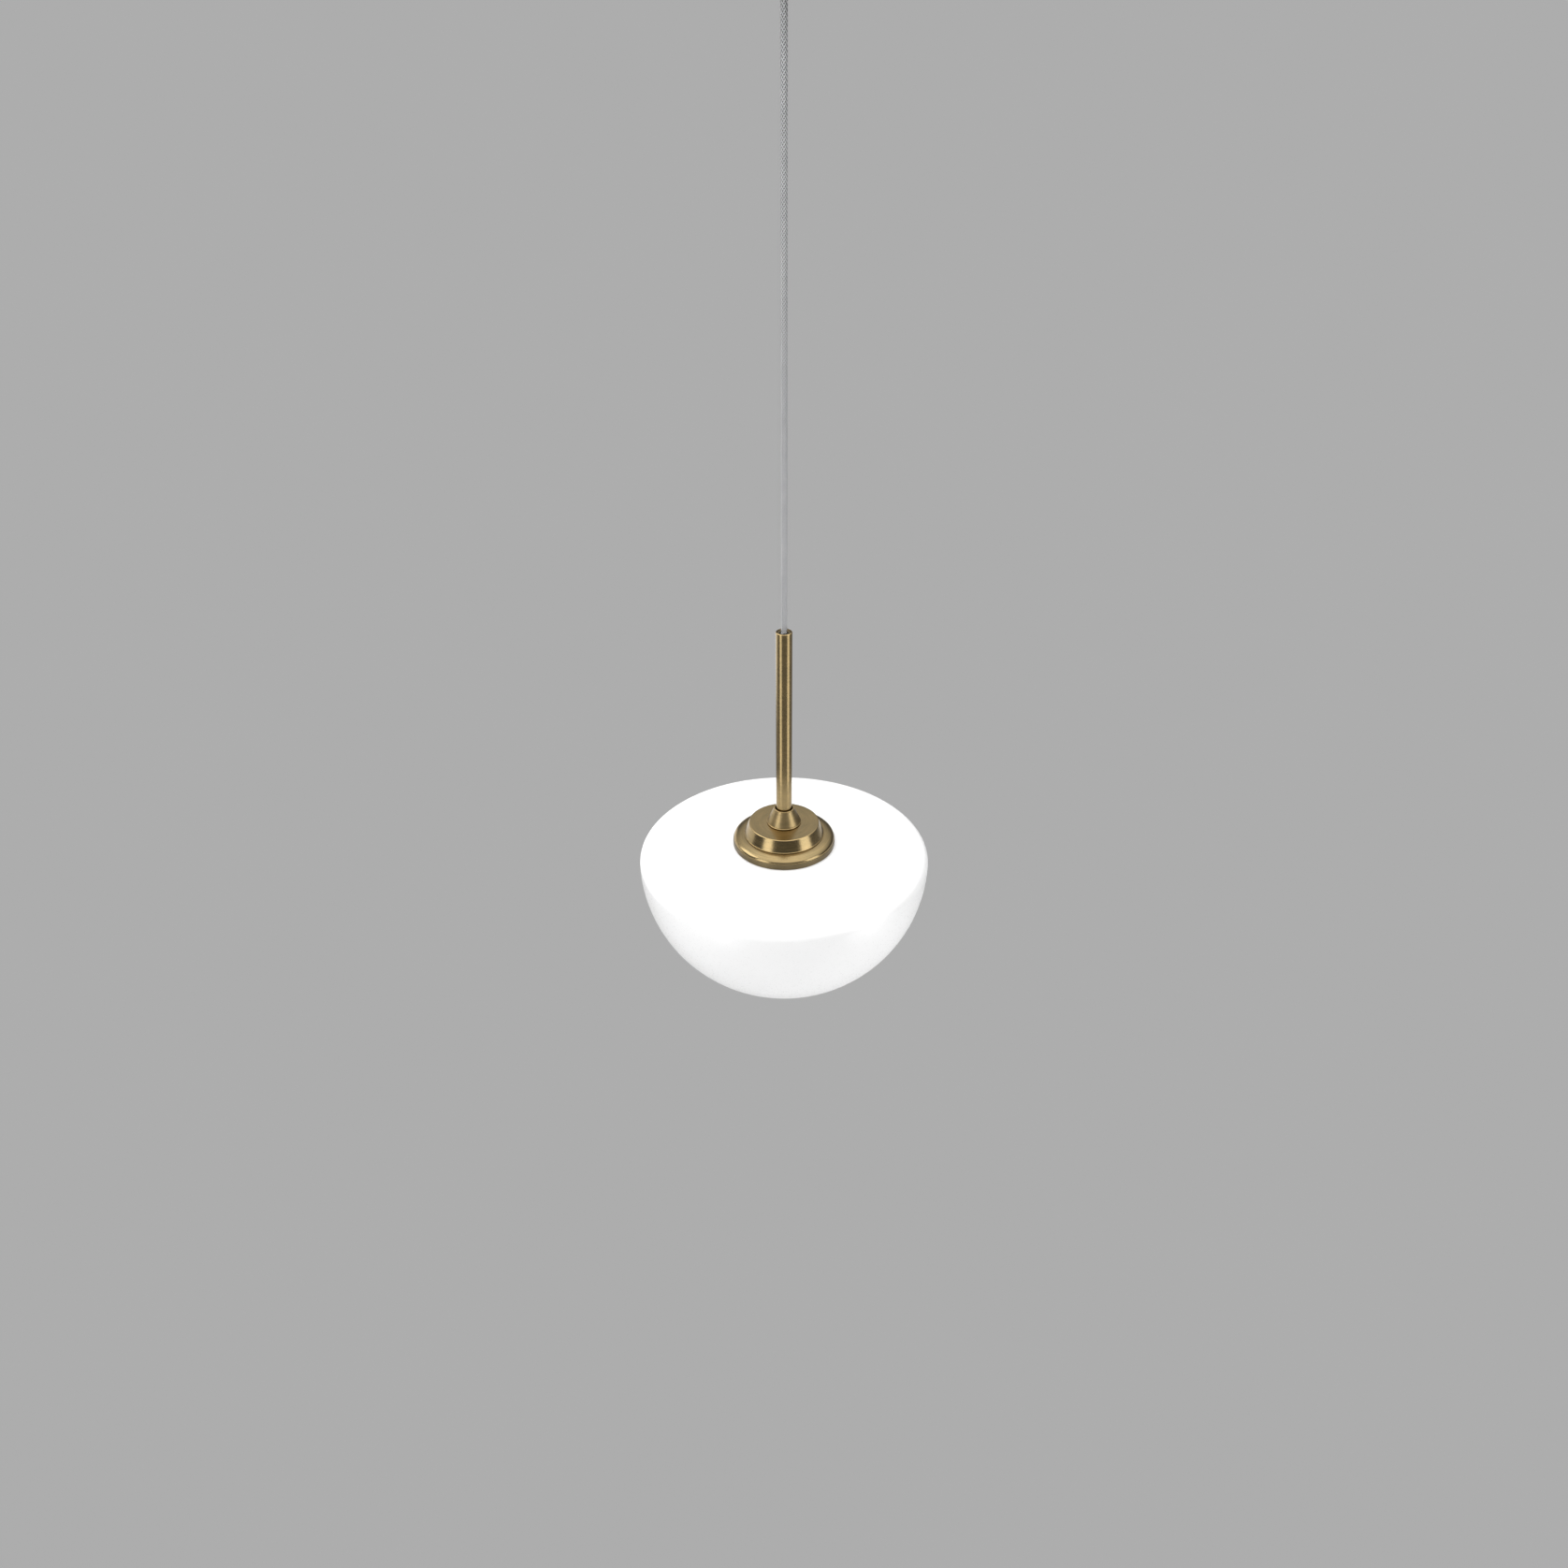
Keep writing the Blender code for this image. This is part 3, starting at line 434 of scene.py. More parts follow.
def finish_shape(shape, name, sharp_edge=SHARP_EDGE):
    """The shape as a mesh with its faces turned outwards, shaded smooth but for its sharp edges."""
    bmesh.ops.recalc_face_normals(shape, faces=shape.faces)
    mesh = bpy.data.meshes.new(name)
    shape.to_mesh(mesh)
    shape.free()
    mesh.shade_smooth()
    mesh.set_sharp_from_angle(angle=math.radians(sharp_edge))
    return mesh


def edge_share(before, point, after):
    """0 where an outline runs on, and up to 1 where it turns over a convex edge."""
    first, second = Vector(point) - Vector(before), Vector(after) - Vector(point)
    if first.length < AXIS or second.length < AXIS:
        return 0.0
    turn = math.degrees(first.angle_signed(second))
    return max(0.0, min(1.0, (turn - WORN_FROM) / WORN_SPAN))


def turned(name, outline, segments=96, centre=(0, 0, 0), direction=(0, 0, 1)):
    """A solid turned from its (radius, height) outline. An outline that leaves the axis open is a ring."""
    shape = bmesh.new()
    edge = shape.verts.layers.float.new("edge")
    rings = []
    for i, (radius, height) in enumerate(outline):
        share = edge_share(outline[i - 1], outline[i], outline[(i + 1) % len(outline)])
        places = circle(radius, height, segments) if radius > AXIS else [(radius, 0.0, height)]
        ring = [shape.verts.new(place) for place in places]
        for vert in ring:
            vert[edge] = share if radius > AXIS else 0.0
        rings.append(ring)
    pairs = list(zip(rings, rings[1:]))
    if len(rings[0]) > 1:
        pairs.append((rings[-1], rings[0]))
    for first, second in pairs:
        for i in range(segments):
            j = (i + 1) % segments
            (a, d), (b, c) = ((ring[i % len(ring)], ring[j % len(ring)]) for ring in (first, second))
            face = list(dict.fromkeys((a, b, c, d)))
            if len(face) > 2:
                shape.faces.new(face)
    turn = Vector(direction).to_track_quat("Z", "Y").to_matrix().to_4x4()
    bmesh.ops.transform(shape, matrix=Matrix.Translation(centre) @ turn, verts=shape.verts)
    return add(name, finish_shape(shape, name))


def extruded(name, outlines, width, place, bevel=0.0):
    """A flat outline with holes, given a width, with its edges eased. place is its frame, with Z its width.

    The outlines run anticlockwise, or the easing would make the piece larger.
    """
    curve = bpy.data.curves.new(name, "CURVE")
    curve.dimensions = "2D"
    curve.fill_mode = "BOTH"
    curve.extrude = width / 2 - bevel
    curve.bevel_depth = bevel
    curve.bevel_resolution = 2
    curve.offset = -bevel
    for outline in outlines:
        spline = curve.splines.new("POLY")
        spline.points.add(len(outline) - 1)
        for point, (x, y) in zip(spline.points, outline):
            point.co = (x, y, 0.0, 1.0)
        spline.use_cyclic_u = True
    return solid(add(name + "_outline", curve), name, place)


def solid(helper, name, place=None):
    """The evaluated shape of a helper object, as a mesh object of its own."""
    bpy.context.view_layer.update()
    mesh = bpy.data.meshes.new_from_object(helper.evaluated_get(bpy.context.evaluated_depsgraph_get()))
    world = helper.matrix_world.copy()
    bpy.data.objects.remove(helper, do_unlink=True)
    shape = bmesh.new()
    shape.from_mesh(mesh)
    bmesh.ops.remove_doubles(shape, verts=shape.verts, dist=1e-6)
    bmesh.ops.transform(shape, matrix=(place or Matrix()) @ world, verts=shape.verts)
    return add(name, finish_shape(shape, name))


def cut(obj, cutters, operation="DIFFERENCE"):
    """obj with the cutters taken away, as a new mesh under the same name."""
    name = obj.name
    obj.name = name + "_uncut"
    for i, cutter in enumerate(cutters):
        modifier = obj.modifiers.new(f"cut_{i}", "BOOLEAN")
        modifier.object = cutter
        modifier.operation = operation
        modifier.solver = "EXACT"
    result = solid(obj, name)
    for cutter in cutters:
        bpy.data.objects.remove(cutter, do_unlink=True)
    return result


CORNERS = ((1, 1), (-1, 1), (-1, -1), (1, -1))


def bar(radius, start, end):
    """A plain round cutter between two points."""
    start, end = Vector(start), Vector(end)
    length = (end - start).length
    outline = [(0, 0), (radius, 0), (radius, length), (0, length)]
    return turned("bar", outline, 32, start, end - start)


def slab(size, centre, turn=None):
    """A plain box cutter."""
    shape = bmesh.new()
    bmesh.ops.create_cube(shape, size=1.0)
    bmesh.ops.scale(shape, vec=Vector(size), verts=shape.verts)
    bmesh.ops.transform(shape, matrix=Matrix.Translation(centre) @ (turn or Matrix()), verts=shape.verts)
    return add("slab", finish_shape(shape, "slab"))


def helix_shell(name, outer_r, rise, inner_r, top, bottom, pitch, segments=72, rows_per_turn=8):
    """A threaded tube: the outer face swells in a helix, which fades out at both ends."""
    fade = 0.4 * pitch
    rows = max(4, round((top - bottom) / pitch * rows_per_turn))
    shape = bmesh.new()
    rings = []
    for row in range(rows + 1):
        z = top + (bottom - top) * row / rows
        end = min(top - z, z - bottom) / fade
        ring = []
        for i in range(segments):
            angle = math.tau * i / segments
            wave = 0.5 - 0.5 * math.cos(math.tau * ((top - z) / pitch + i / segments))
            radius = outer_r + rise * wave * min(1.0, end)
            ring.append(shape.verts.new((radius * math.cos(angle), radius * math.sin(angle), z)))
        rings.append(ring)
    rings += [[shape.verts.new(place) for place in circle(inner_r, z, segments)] for z in (bottom, top)]
    for first, second in zip(rings, rings[1:] + rings[:1]):
        for i in range(segments):
            j = (i + 1) % segments
            shape.faces.new((first[i], second[i], second[j], first[j]))
    return add(name, finish_shape(shape, name))


def swept(name, points, radius, resolution):
    """A round wire along a list of points."""
    curve = bpy.data.curves.new(name, "CURVE")
    curve.dimensions = "3D"
    curve.bevel_depth = radius
    curve.bevel_resolution = resolution
    curve.use_fill_caps = True
    spline = curve.splines.new("POLY")
    spline.points.add(len(points) - 1)
    for point, position in zip(spline.points, points):
        point.co = (*position, 1.0)
    return solid(add(name + "_line", curve), name)


def strand(shape, across, number, direction, top, bottom):
    """One flat strand of the braid: it winds round the cord, over two crossing strands and under two."""
    steps = max(2, math.ceil((top - bottom) / BRAID_LEAD * STEPS_PER_LEAD))
    slope = math.atan(math.tau * BRAID_R / BRAID_LEAD)
    sides = 6
    section = [(math.cos(a), math.sin(a)) for a in (math.tau * (k + 0.5) / sides for k in range(sides))]
    rings = []
    for step in range(steps + 1):
        z = top + (bottom - top) * step / steps
        crossings = 2 * STRANDS * z / BRAID_LEAD
        phase = 2 * number + direction * crossings - 0.5
        wave = max(-1.0, min(1.0, BRAID_REST * math.cos(math.pi / 2 * phase)))
        angle = math.tau * (number / STRANDS + direction * z / BRAID_LEAD)
        ring = []
        for u, v in section:
            side = u * STRAND_WIDTH / 2
            turn = angle + side * math.cos(slope) / BRAID_R
            radius = BRAID_R + direction * wave * BRAID_WAVE + v * STRAND_DEPTH / 2
            height = min(top, max(bottom, z - direction * side * math.sin(slope)))
            vert = shape.verts.new((radius * math.cos(turn), radius * math.sin(turn), height))
            vert[across] = u
            ring.append(vert)
        rings.append(ring)
    for first, second in zip(rings, rings[1:]):
        for k in range(sides):
            m = (k + 1) % sides
            shape.faces.new((first[k], second[k], second[m], first[m]))
    shape.faces.new(rings[0])
    shape.faces.new(rings[-1])


def jacket(shape, top, bottom, segments=16):
    """The round jacket under the braid."""
    upper, lower = ([shape.verts.new(place) for place in circle(CORE_R, z, segments)] for z in (top, bottom))
    faces = [shape.faces.new(upper), shape.faces.new(lower)]
    for i in range(segments):
        j = (i + 1) % segments
        faces.append(shape.faces.new((upper[i], lower[i], lower[j], upper[j])))
    for face in faces:
        face.material_index = 1


def braided(name, node):
    """A length of the cord: sixteen flat strands woven over the jacket."""
    low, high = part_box(node)
    shape = bmesh.new()
    across = shape.verts.layers.float.new("across")
    for number in range(STRANDS):
        for direction in (1, -1):
            strand(shape, across, number, direction, high.z, low.z)
    jacket(shape, high.z, low.z)
    mesh = finish_shape(shape, name, sharp_edge=75.0)
    return stand_in(add(name, mesh), node, "braid", "braid_jacket")


def cord():
    free = braided("braided_cord", "cord")
    braided("braided_cord_top_end", "cord_top_end")
    braided("braided_cord_bottom_end", "cord_bottom_end")


# ------------------------ stem and fitter
def stem():
    low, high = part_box("stem_tube")
    wall = 0.001
    bore_r = high.x - wall
    outline = [(high.x, high.z, 0.00070), (high.x, low.z, 0.0002), (bore_r, low.z), (bore_r, high.z, 0.0001)]
    stand_in(turned("stem", rounded(outline)), "stem_tube")

    low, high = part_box("stem_end_bush")
    mouth, throat, bore = 0.0042, 0.0050, 0.0034
    mouth_z, throat_z, bore_z = high.z - 0.0010, high.z - 0.0036, high.z - 0.0066
    outline = [(high.x, high.z, 0.0003), (high.x, low.z), (bore, low.z), (bore, bore_z, 0.001)]
    outline += [(throat, throat_z, 0.001), (mouth, mouth_z, 0.0008), (mouth, high.z, 0.0004)]
    stand_in(turned("stem_bush", rounded(outline)), "stem_end_bush", "dark_brass")


def cone():
    low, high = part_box("cover_cone")
    rim_r, rim, bead, waist = 0.0104, 0.0011, 0.0012, 0.0006
    waist_r, bead_top = high.x - waist, low.z + bead
    outline = [(rim_r, high.z, 0.0004), (rim_r + 0.0001, high.z - rim, 0.0006)]
    outline += [(waist_r, bead_top + waist, 0.0005), (waist_r, bead_top, 0.0002)]
    outline += [(high.x, bead_top, 0.00055), (high.x, low.z, 0.0005)]
    outline += [(COVER_BORE_R, low.z), (COVER_BORE_R, high.z, 0.0003)]
    stand_in(turned("fitter_cone", rounded(outline), 128), "cover_cone", "satin_brass")


def step():
    low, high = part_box("cover_step")
    top_r, foot, under_top = 0.0358, low.z + 0.0006, high.z - COVER_GAUGE
    outline = [(COVER_BORE_R, high.z, 0.0003), (top_r, high.z, 0.0011), (high.x - 0.0005, foot, 0.0003)]
    outline += [(high.x, foot, 0.00028), (high.x, low.z, 0.0002), (high.x - COVER_GAUGE, low.z)]
    outline += [(top_r - COVER_GAUGE, under_top, 0.0008), (COVER_BORE_R, under_top)]
    stand_in(turned("fitter_step", rounded(outline, count=6), 144), "cover_step")


def flange():
    low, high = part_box("cover_flange")
    top_r, edge_r, brow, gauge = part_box("cover_step")[1].x, 0.0519, 0.0054, COVER_GAUGE
    reach, foot = edge_r - top_r, high.z - brow
    groove_r, inner_r = edge_r - 0.0003, high.x - gauge
    angles = [math.radians(90 - 3 * i) for i in range(30)]
    front = [(top_r + reach * math.cos(a), foot + brow * math.sin(a)) for a in angles]
    back = [(r - gauge * 0.7, z - gauge) for r, z in reversed(front)]
    outline = [(COVER_BORE_R, high.z, 0.0003), *front, (edge_r, foot - 0.0001), (groove_r, foot - 0.0003)]
    outline += [(groove_r, foot - 0.0005), (high.x - 0.0002, foot - 0.0006, 0.0003)]
    outline += [(high.x, low.z, 0.0005), (inner_r, low.z, 0.0003)]
    outline += [(inner_r - 0.0004, foot - gauge), *back, (COVER_BORE_R, high.z - gauge)]
    disc = turned("fitter_flange", rounded(outline), 160)
    # faces below the brow take the darker brass: painted shade on the skirt
    for face in disc.data.polygons:
        face.material_index = 1 if face.center.z < foot - 0.0002 else 0
    stand_in(disc, "cover_flange", "aged_brass", "shaded_skirt_brass")


def felt_ring():
    low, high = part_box("cover_felt_ring")
    inner_r, ease = 0.0426, 0.0009
    outline = [(high.x, high.z, ease), (high.x, low.z, ease), (inner_r, low.z, ease), (inner_r, high.z, ease)]
    stand_in(turned("felt_ring", rounded(outline)), "cover_felt_ring", "felt")


# ------------------------ glass bowl
def bowl_side(radius, level, bottom, inset, crown_drop):
    """One face of the glass, from the hole's edge round to the bottom, this far inside the outer face."""
    crown_rows, shoulder_rows, side_rows = 12, 14, 48
    shoulder = arc(radius - SHOULDER_R, level, SHOULDER_R - inset, 90 - CROWN_SLOPE, 0, shoulder_rows)
    crown_r, crown_z = shoulder[0]
    run = crown_r - GLASS_HOLE_R
    hole_z = crown_z + run * crown_drop
    rise = crown_z - hole_z
    crown = [(GLASS_HOLE_R + run * i / crown_rows, hole_z + rise * i / crown_rows) for i in range(crown_rows)]
    depth, side_r = level - bottom - inset, radius - inset
    angles = [math.pi / 2 * i / side_rows for i in range(1, side_rows)]
    side = [(side_r * math.cos(a), level - depth * math.sin(a)) for a in angles]
    return crown + shoulder + side + [(0.0, bottom + inset)]


def glass():
    """The bowl: a crown with a round hole, a round shoulder, and a side and bottom that are half an ellipse."""
    low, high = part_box("glass_shade")
    slope = math.tan(math.radians(CROWN_SLOPE))
    lean = math.radians(90 - CROWN_SLOPE)
    crown_r = high.x - SHOULDER_R + SHOULDER_R * math.cos(lean)
    level = high.z - (crown_r - GLASS_HOLE_R) * slope - SHOULDER_R * math.sin(lean)
    outer = bowl_side(high.x, level, low.z, 0.0, slope)
    inner = bowl_side(high.x, level, low.z, GLASS_WALL, slope)
    lip = 0.0012
    (hole_r, top), (_, under) = outer[0], inner[0]
    edge = rounded([inner[1], (hole_r, under, lip), (hole_r, top, lip), outer[1]], closed=False)
    stand_in(turned("opal_bowl", list(reversed(inner[1:])) + edge[1:-1] + outer[1:], 160), "glass_shade")


# ------------------------ ceiling fitting
def screw_holes(inner_end):
    """Two cutters on the canopy screws' axis, from this far from the middle outwards."""
    low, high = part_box("canopy_screw_right")
    outer_end, height = 0.055, (low.z + high.z) / 2
    return [bar(SCREW_HOLE_R, (side * inner_end, 0, height), (side * outer_end, 0, height)) for side in (-1, 1)]


def canopy():
    low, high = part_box("canopy")
    wall, corner, hole_r = 0.0012, 0.005, THREAD_R + PLAY
    outer_r = high.x
    outline = [(outer_r, high.z, 0.0004), (outer_r, low.z, corner), (hole_r, low.z), (hole_r, low.z + wall)]
    outline += [(outer_r - wall, low.z + wall, corner - wall), (outer_r - wall, high.z, 0.0004)]
    cup = turned("canopy_cup", rounded(outline, count=10), 160)
    stand_in(cut(cup, screw_holes(0.044)), "canopy")


def canopy_screw(side, name):
    low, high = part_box(name)
    height = (low.z + high.z) / 2
    tip, end = sorted((abs(low.x), abs(high.x)))
    head, head_r, shank_r = 0.002, (high.z - low.z) / 2, 0.0019
    length = end - tip
    seat = length - head
    outline = [(0, length), (head_r - 0.0006, length, 0.0009), (head_r, seat + head * 0.45, 0.0007)]
    outline += [(head_r, seat, 0.0002), (shank_r, seat)]
    outline += [(shank_r, 0.0004, 0.0002), (shank_r - 0.0006, 0), (0, 0)]
    screw = turned(name + "_head", rounded(outline, closed=False), 48, (side * tip, 0, height), (side, 0, 0))
    slot = slab((0.0016, 0.010, 0.0009), (side * end, 0, height))
    stand_in(cut(screw, [slot]), name)


def cord_grip():
    """The cord grip, with two grooves round its collar and a slotted grub screw in its side."""
    low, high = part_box("cord_grip_body")
    shoulder, collar_foot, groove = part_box("canopy")[0].z - PLAY, -0.037, 0.0003
    foot_r, mouth, throat, bore = 0.0068, 0.0055, 0.0045, 0.0034
    outline = [(THREAD_R, high.z, 0.0004), (THREAD_R, shoulder), (high.x, shoulder, 0.0003)]
    for level in (shoulder - 0.0022, collar_foot + 0.0014):
        outline += [(high.x, level + groove), (high.x - groove, level), (high.x, level - groove)]
    outline += [(high.x, collar_foot, 0.0008), (foot_r, low.z, 0.0006), (mouth, low.z, 0.0004)]
    outline += [(throat, CORD_TOP - 0.0010, 0.0010), (bore, CORD_TOP + 0.0015, 0.0010), (bore, high.z)]
    body = turned("cord_grip", rounded(outline), 96)
    inner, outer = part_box("cord_grip_screw")
    height = (inner.z + outer.z) / 2
    stand_in(cut(body, [bar(0.0017, (0, 0.001, height), (0, 0.012, height))]), "cord_grip_body")
    radius, length = (outer.z - inner.z) / 2, outer.y - inner.y
    outline = [(0, length), (radius, length, 0.0003), (radius, 0, 0.0003), (0, 0)]
    screw = turned("grub_screw", rounded(outline, closed=False), 40, (0, inner.y, height), (0, 1, 0))
    slot = slab((0.0005, 0.0016, 0.004), (0, outer.y, height))
    stand_in(cut(screw, [slot]), "cord_grip_screw")


def hex_nut(name, node):
    """A chamfered nut: a hexagon turned down at its corners, with a threaded bore."""
    low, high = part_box(node)
    height, corner_r = high.z - low.z, high.x
    flat_r = corner_r * math.cos(math.pi / 6)
    hexagon = [(corner_r * math.cos(a), corner_r * math.sin(a)) for a in (math.pi / 3 * k for k in range(6))]
    middle = Matrix.Translation((0, 0, (low.z + high.z) / 2))
    nut = extruded(name, [hexagon], height, middle)
    chamfer, face_r = (corner_r - flat_r) * 0.6, flat_r * 0.98
    outline = [(0, high.z + PLAY), (face_r, high.z), (corner_r, high.z - chamfer)]
    outline += [(corner_r, low.z + chamfer), (face_r, low.z), (0, low.z - PLAY)]
    nut = cut(nut, [turned("cone", outline, 72)], "INTERSECT")
    above, below, shell_r, core_r = high.z + 0.001, low.z - 0.001, 0.0005, 0.001
    bore = helix_shell(
        "bore", THREAD_R + PLAY - 0.0001, THREAD_RISE, shell_r, above, below, THREAD_PITCH, 48, 6)
    core = turned("core", [(0, above), (core_r, above), (core_r, below), (0, below)], 24)
    stand_in(cut(nut, [bore, core]), node)


def washer(name, node):
    low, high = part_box(node)
    inner_r, ease = THREAD_R + PLAY, (high.z - low.z) * 0.3
    outline = [(high.x, high.z, ease), (high.x, low.z, ease), (inner_r, low.z, ease), (inner_r, high.z, ease)]
    stand_in(turned(name, rounded(outline), 72), node)


def bracket():
    """A strap with both ends bent down, holes for the canopy's screws, and two slots for the ceiling screws."""
    low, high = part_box("ceiling_bracket")
    gauge, half, width, bend, ease = 0.002, high.x, high.y - low.y, 0.003, 0.0004
    inner, under = half - gauge, high.z - gauge
    outline = [(-half, high.z, bend), (half, high.z, bend), (half, low.z, ease), (inner, low.z, ease)]
    outline += [(inner, under, bend - gauge), (-inner, under, bend - gauge), (-inner, low.z, ease)]
    outline += [(-half, low.z, ease)]
    upright = Matrix.Rotation(math.pi / 2, 4, "X")
    strap = extruded("ceiling_strap", [rounded(outline[::-1])], width, upright, 0.0003)
    cutters = []
    for hole, side in zip(screw_holes(0.030), (-1, 1)):
        slot = rounded([(x * 0.006, y * 0.00225, 0.0018) for x, y in CORNERS])
        cutters += [hole, extruded("slot", [slot], 0.01, Matrix.Translation((side * 0.024, 0, 0)))]
    stand_in(cut(strap, cutters), "ceiling_bracket")


def terminals():
    """The strip of three terminals, with grooves between them, and its slotted screws in their wells."""
    low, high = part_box("terminal_block")
    half, end_wall, groove, notch, corner = high.x, 0.002, 0.0008, 0.0012, 0.0014
    between, past = (half - end_wall) / 3, 0.001
    outline = [(-half, low.z, corner)]
    for x in (-between, between):
        outline += [(x - groove, low.z), (x, low.z + notch), (x + groove, low.z)]
    outline += [(half, low.z, corner), (half, high.z, corner)]
    for x in (between, -between):
        outline += [(x + groove, high.z), (x, high.z - notch), (x - groove, high.z)]
    outline.append((-half, high.z, corner))
    upright = Matrix.Rotation(math.pi / 2, 4, "X")
    strip = extruded("terminal_strip", [rounded(outline)], high.y - low.y, upright, 0.0005)
    cutters = []
    for core in ("live", "neutral", "earth"):
        first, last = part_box("terminal_screw_" + core)
        x, z, radius = (first.x + last.x) / 2, (first.z + last.z) / 2, (last.z - first.z) / 2
        cutters.append(bar(radius + PLAY, (x, low.y - past, z), (x, last.y + PLAY, z)))
        wire_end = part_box("feed_wire_" + core)[1].z
        cutters.append(bar(0.0012, (x, 0, low.z - past), (x, 0, wire_end + PLAY)))
        length = last.y - first.y
        head = rounded([(0, length), (radius, length, 0.0003), (radius, 0, 0.0002), (0, 0)], closed=False)
        screw = turned(f"terminal_{core}_head", head, 40, (x, last.y, z), (0, -1, 0))
        slot = slab((0.004, 0.0012, 0.0005), (x, first.y, z), Matrix.Rotation(0.5 + 9 * x, 4, "Y"))
        stand_in(cut(screw, [slot]), "terminal_screw_" + core)
    stand_in(cut(strip, cutters), "terminal_block")


# ------------------------ claw holder
CLAW_ANGLES = {1: 90.0, 2: 210.0, 3: 330.0}  # round the axis, in degrees
CLAW_PIVOT_R = 0.037  # the pin, from the axis
CLAW_PIVOT_Z = -0.8095
CLAW_REACH = 0.0475  # the tip, from the axis
CLAW_FOOT_TOP = -0.8143
CLAW_WIDTH = 0.006
PIN_R = 0.001


def claw_frame(angle):
    """A claw's own frame, at its pin: X points outwards and Z lies along the pin."""
    turn = Matrix.Rotation(math.radians(angle), 4, "Z")
    return turn @ Matrix.Translation((CLAW_PIVOT_R, 0, CLAW_PIVOT_Z)) @ Matrix.Rotation(math.pi / 2, 4, "X")


def claw(number, angle):
    """A strip that hangs from its eye and turns outwards into a foot, with a soft pad on the foot."""
    sheet, eye_r, shank, ease = 0.0015, 0.0022, 0.0010, 0.0002
    foot, tip = CLAW_FOOT_TOP - CLAW_PIVOT_Z, CLAW_REACH - CLAW_PIVOT_R
    edge = arc(0, 0, eye_r, 0, 180, 12)
    edge += rounded(
        [(-eye_r, 0), (-eye_r, foot, 0.0008), (-0.0016, foot - sheet, 0.0010), (tip, foot - sheet, 0.0007),
         (tip, foot, 0.0006), (shank, foot, 0.0008), (shank, -0.0024)], closed=False)[1:]
    hole = arc(0, 0, PIN_R + PLAY, 0, 345, 23)
    strip = extruded(f"claw_{number}_strip", [edge, hole], CLAW_WIDTH, claw_frame(angle), ease)
    stand_in(strip, f"claw_{number}")
    pad_half, pad_rise = 0.00275, 0.0005
    pad = rounded([(x * pad_half, y * pad_rise, 0.0003) for x, y in CORNERS])
    middle = claw_frame(angle) @ Matrix.Translation((tip - 0.0032, foot + PLAY + pad_rise, 0))
    stand_in(extruded(f"claw_{number}_pad", [pad], CLAW_WIDTH, middle, ease), f"claw_pad_{number}")


def claw_pin(number, angle):
    half, dome = 0.0092, 0.0004
    outline = rounded([(0, half), (PIN_R, half, dome), (PIN_R, -half, dome), (0, -half)], closed=False)
    centre, along = claw_frame(angle).to_translation(), claw_frame(angle).to_3x3() @ Vector((0, 0, 1))
    stand_in(turned(f"claw_{number}_pin", outline, 40, centre, along), f"claw_pin_{number}")


def claw_spring(number, angle):
    """A torsion spring: wire wound two and a half times round the pin, with two short legs."""
    wire_r, coil_r, turns, length, leg = 0.00033, 0.0018, 2.6, 0.0026, 0.0022
    start, steps = 0.0036, 60
    points = [(-0.0034, 0.0012, start)]
    for i in range(steps + 1):
        swing = math.tau * turns * i / steps + math.pi / 2
        points.append((coil_r * math.cos(swing), coil_r * math.sin(swing), start + length * i / steps))
    end = math.tau * turns + math.pi / 2
    tip = Vector((math.cos(end), math.sin(end))) * coil_r + Vector((-math.sin(end), math.cos(end))) * leg
    points.append((tip.x, tip.y, start + length))
    points = [claw_frame(angle) @ Vector((x, y, -z)) for x, y, z in points]
    stand_in(swept(f"claw_{number}_spring", points, wire_r, 3), f"claw_spring_{number}")


def claw_holder():
    washer("holder_washer", "carrier_washer")
    hex_nut("holder_nut", "carrier_nut")
    low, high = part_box("threaded_nipple")
    root_r, bore_r = THREAD_R - THREAD_RISE, 0.0036
    nipple = helix_shell("nipple", root_r, THREAD_RISE, bore_r, high.z, low.z, THREAD_PITCH, 48, 6)
    stand_in(nipple, "threaded_nipple")
    for number, angle in CLAW_ANGLES.items():
        claw(number, angle)
        claw_pin(number, angle)
        claw_spring(number, angle)


# ------------------------ lampholder and bulb
def thread_shell(name, node, wall):
    """A thin shell with the coarse thread of a bulb's screw cap."""
    low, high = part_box(node)
    root_r = high.x - THREAD_RISE
    stand_in(helix_shell(name, root_r, THREAD_RISE, root_r - wall, high.z, low.z, CAP_PITCH), node)


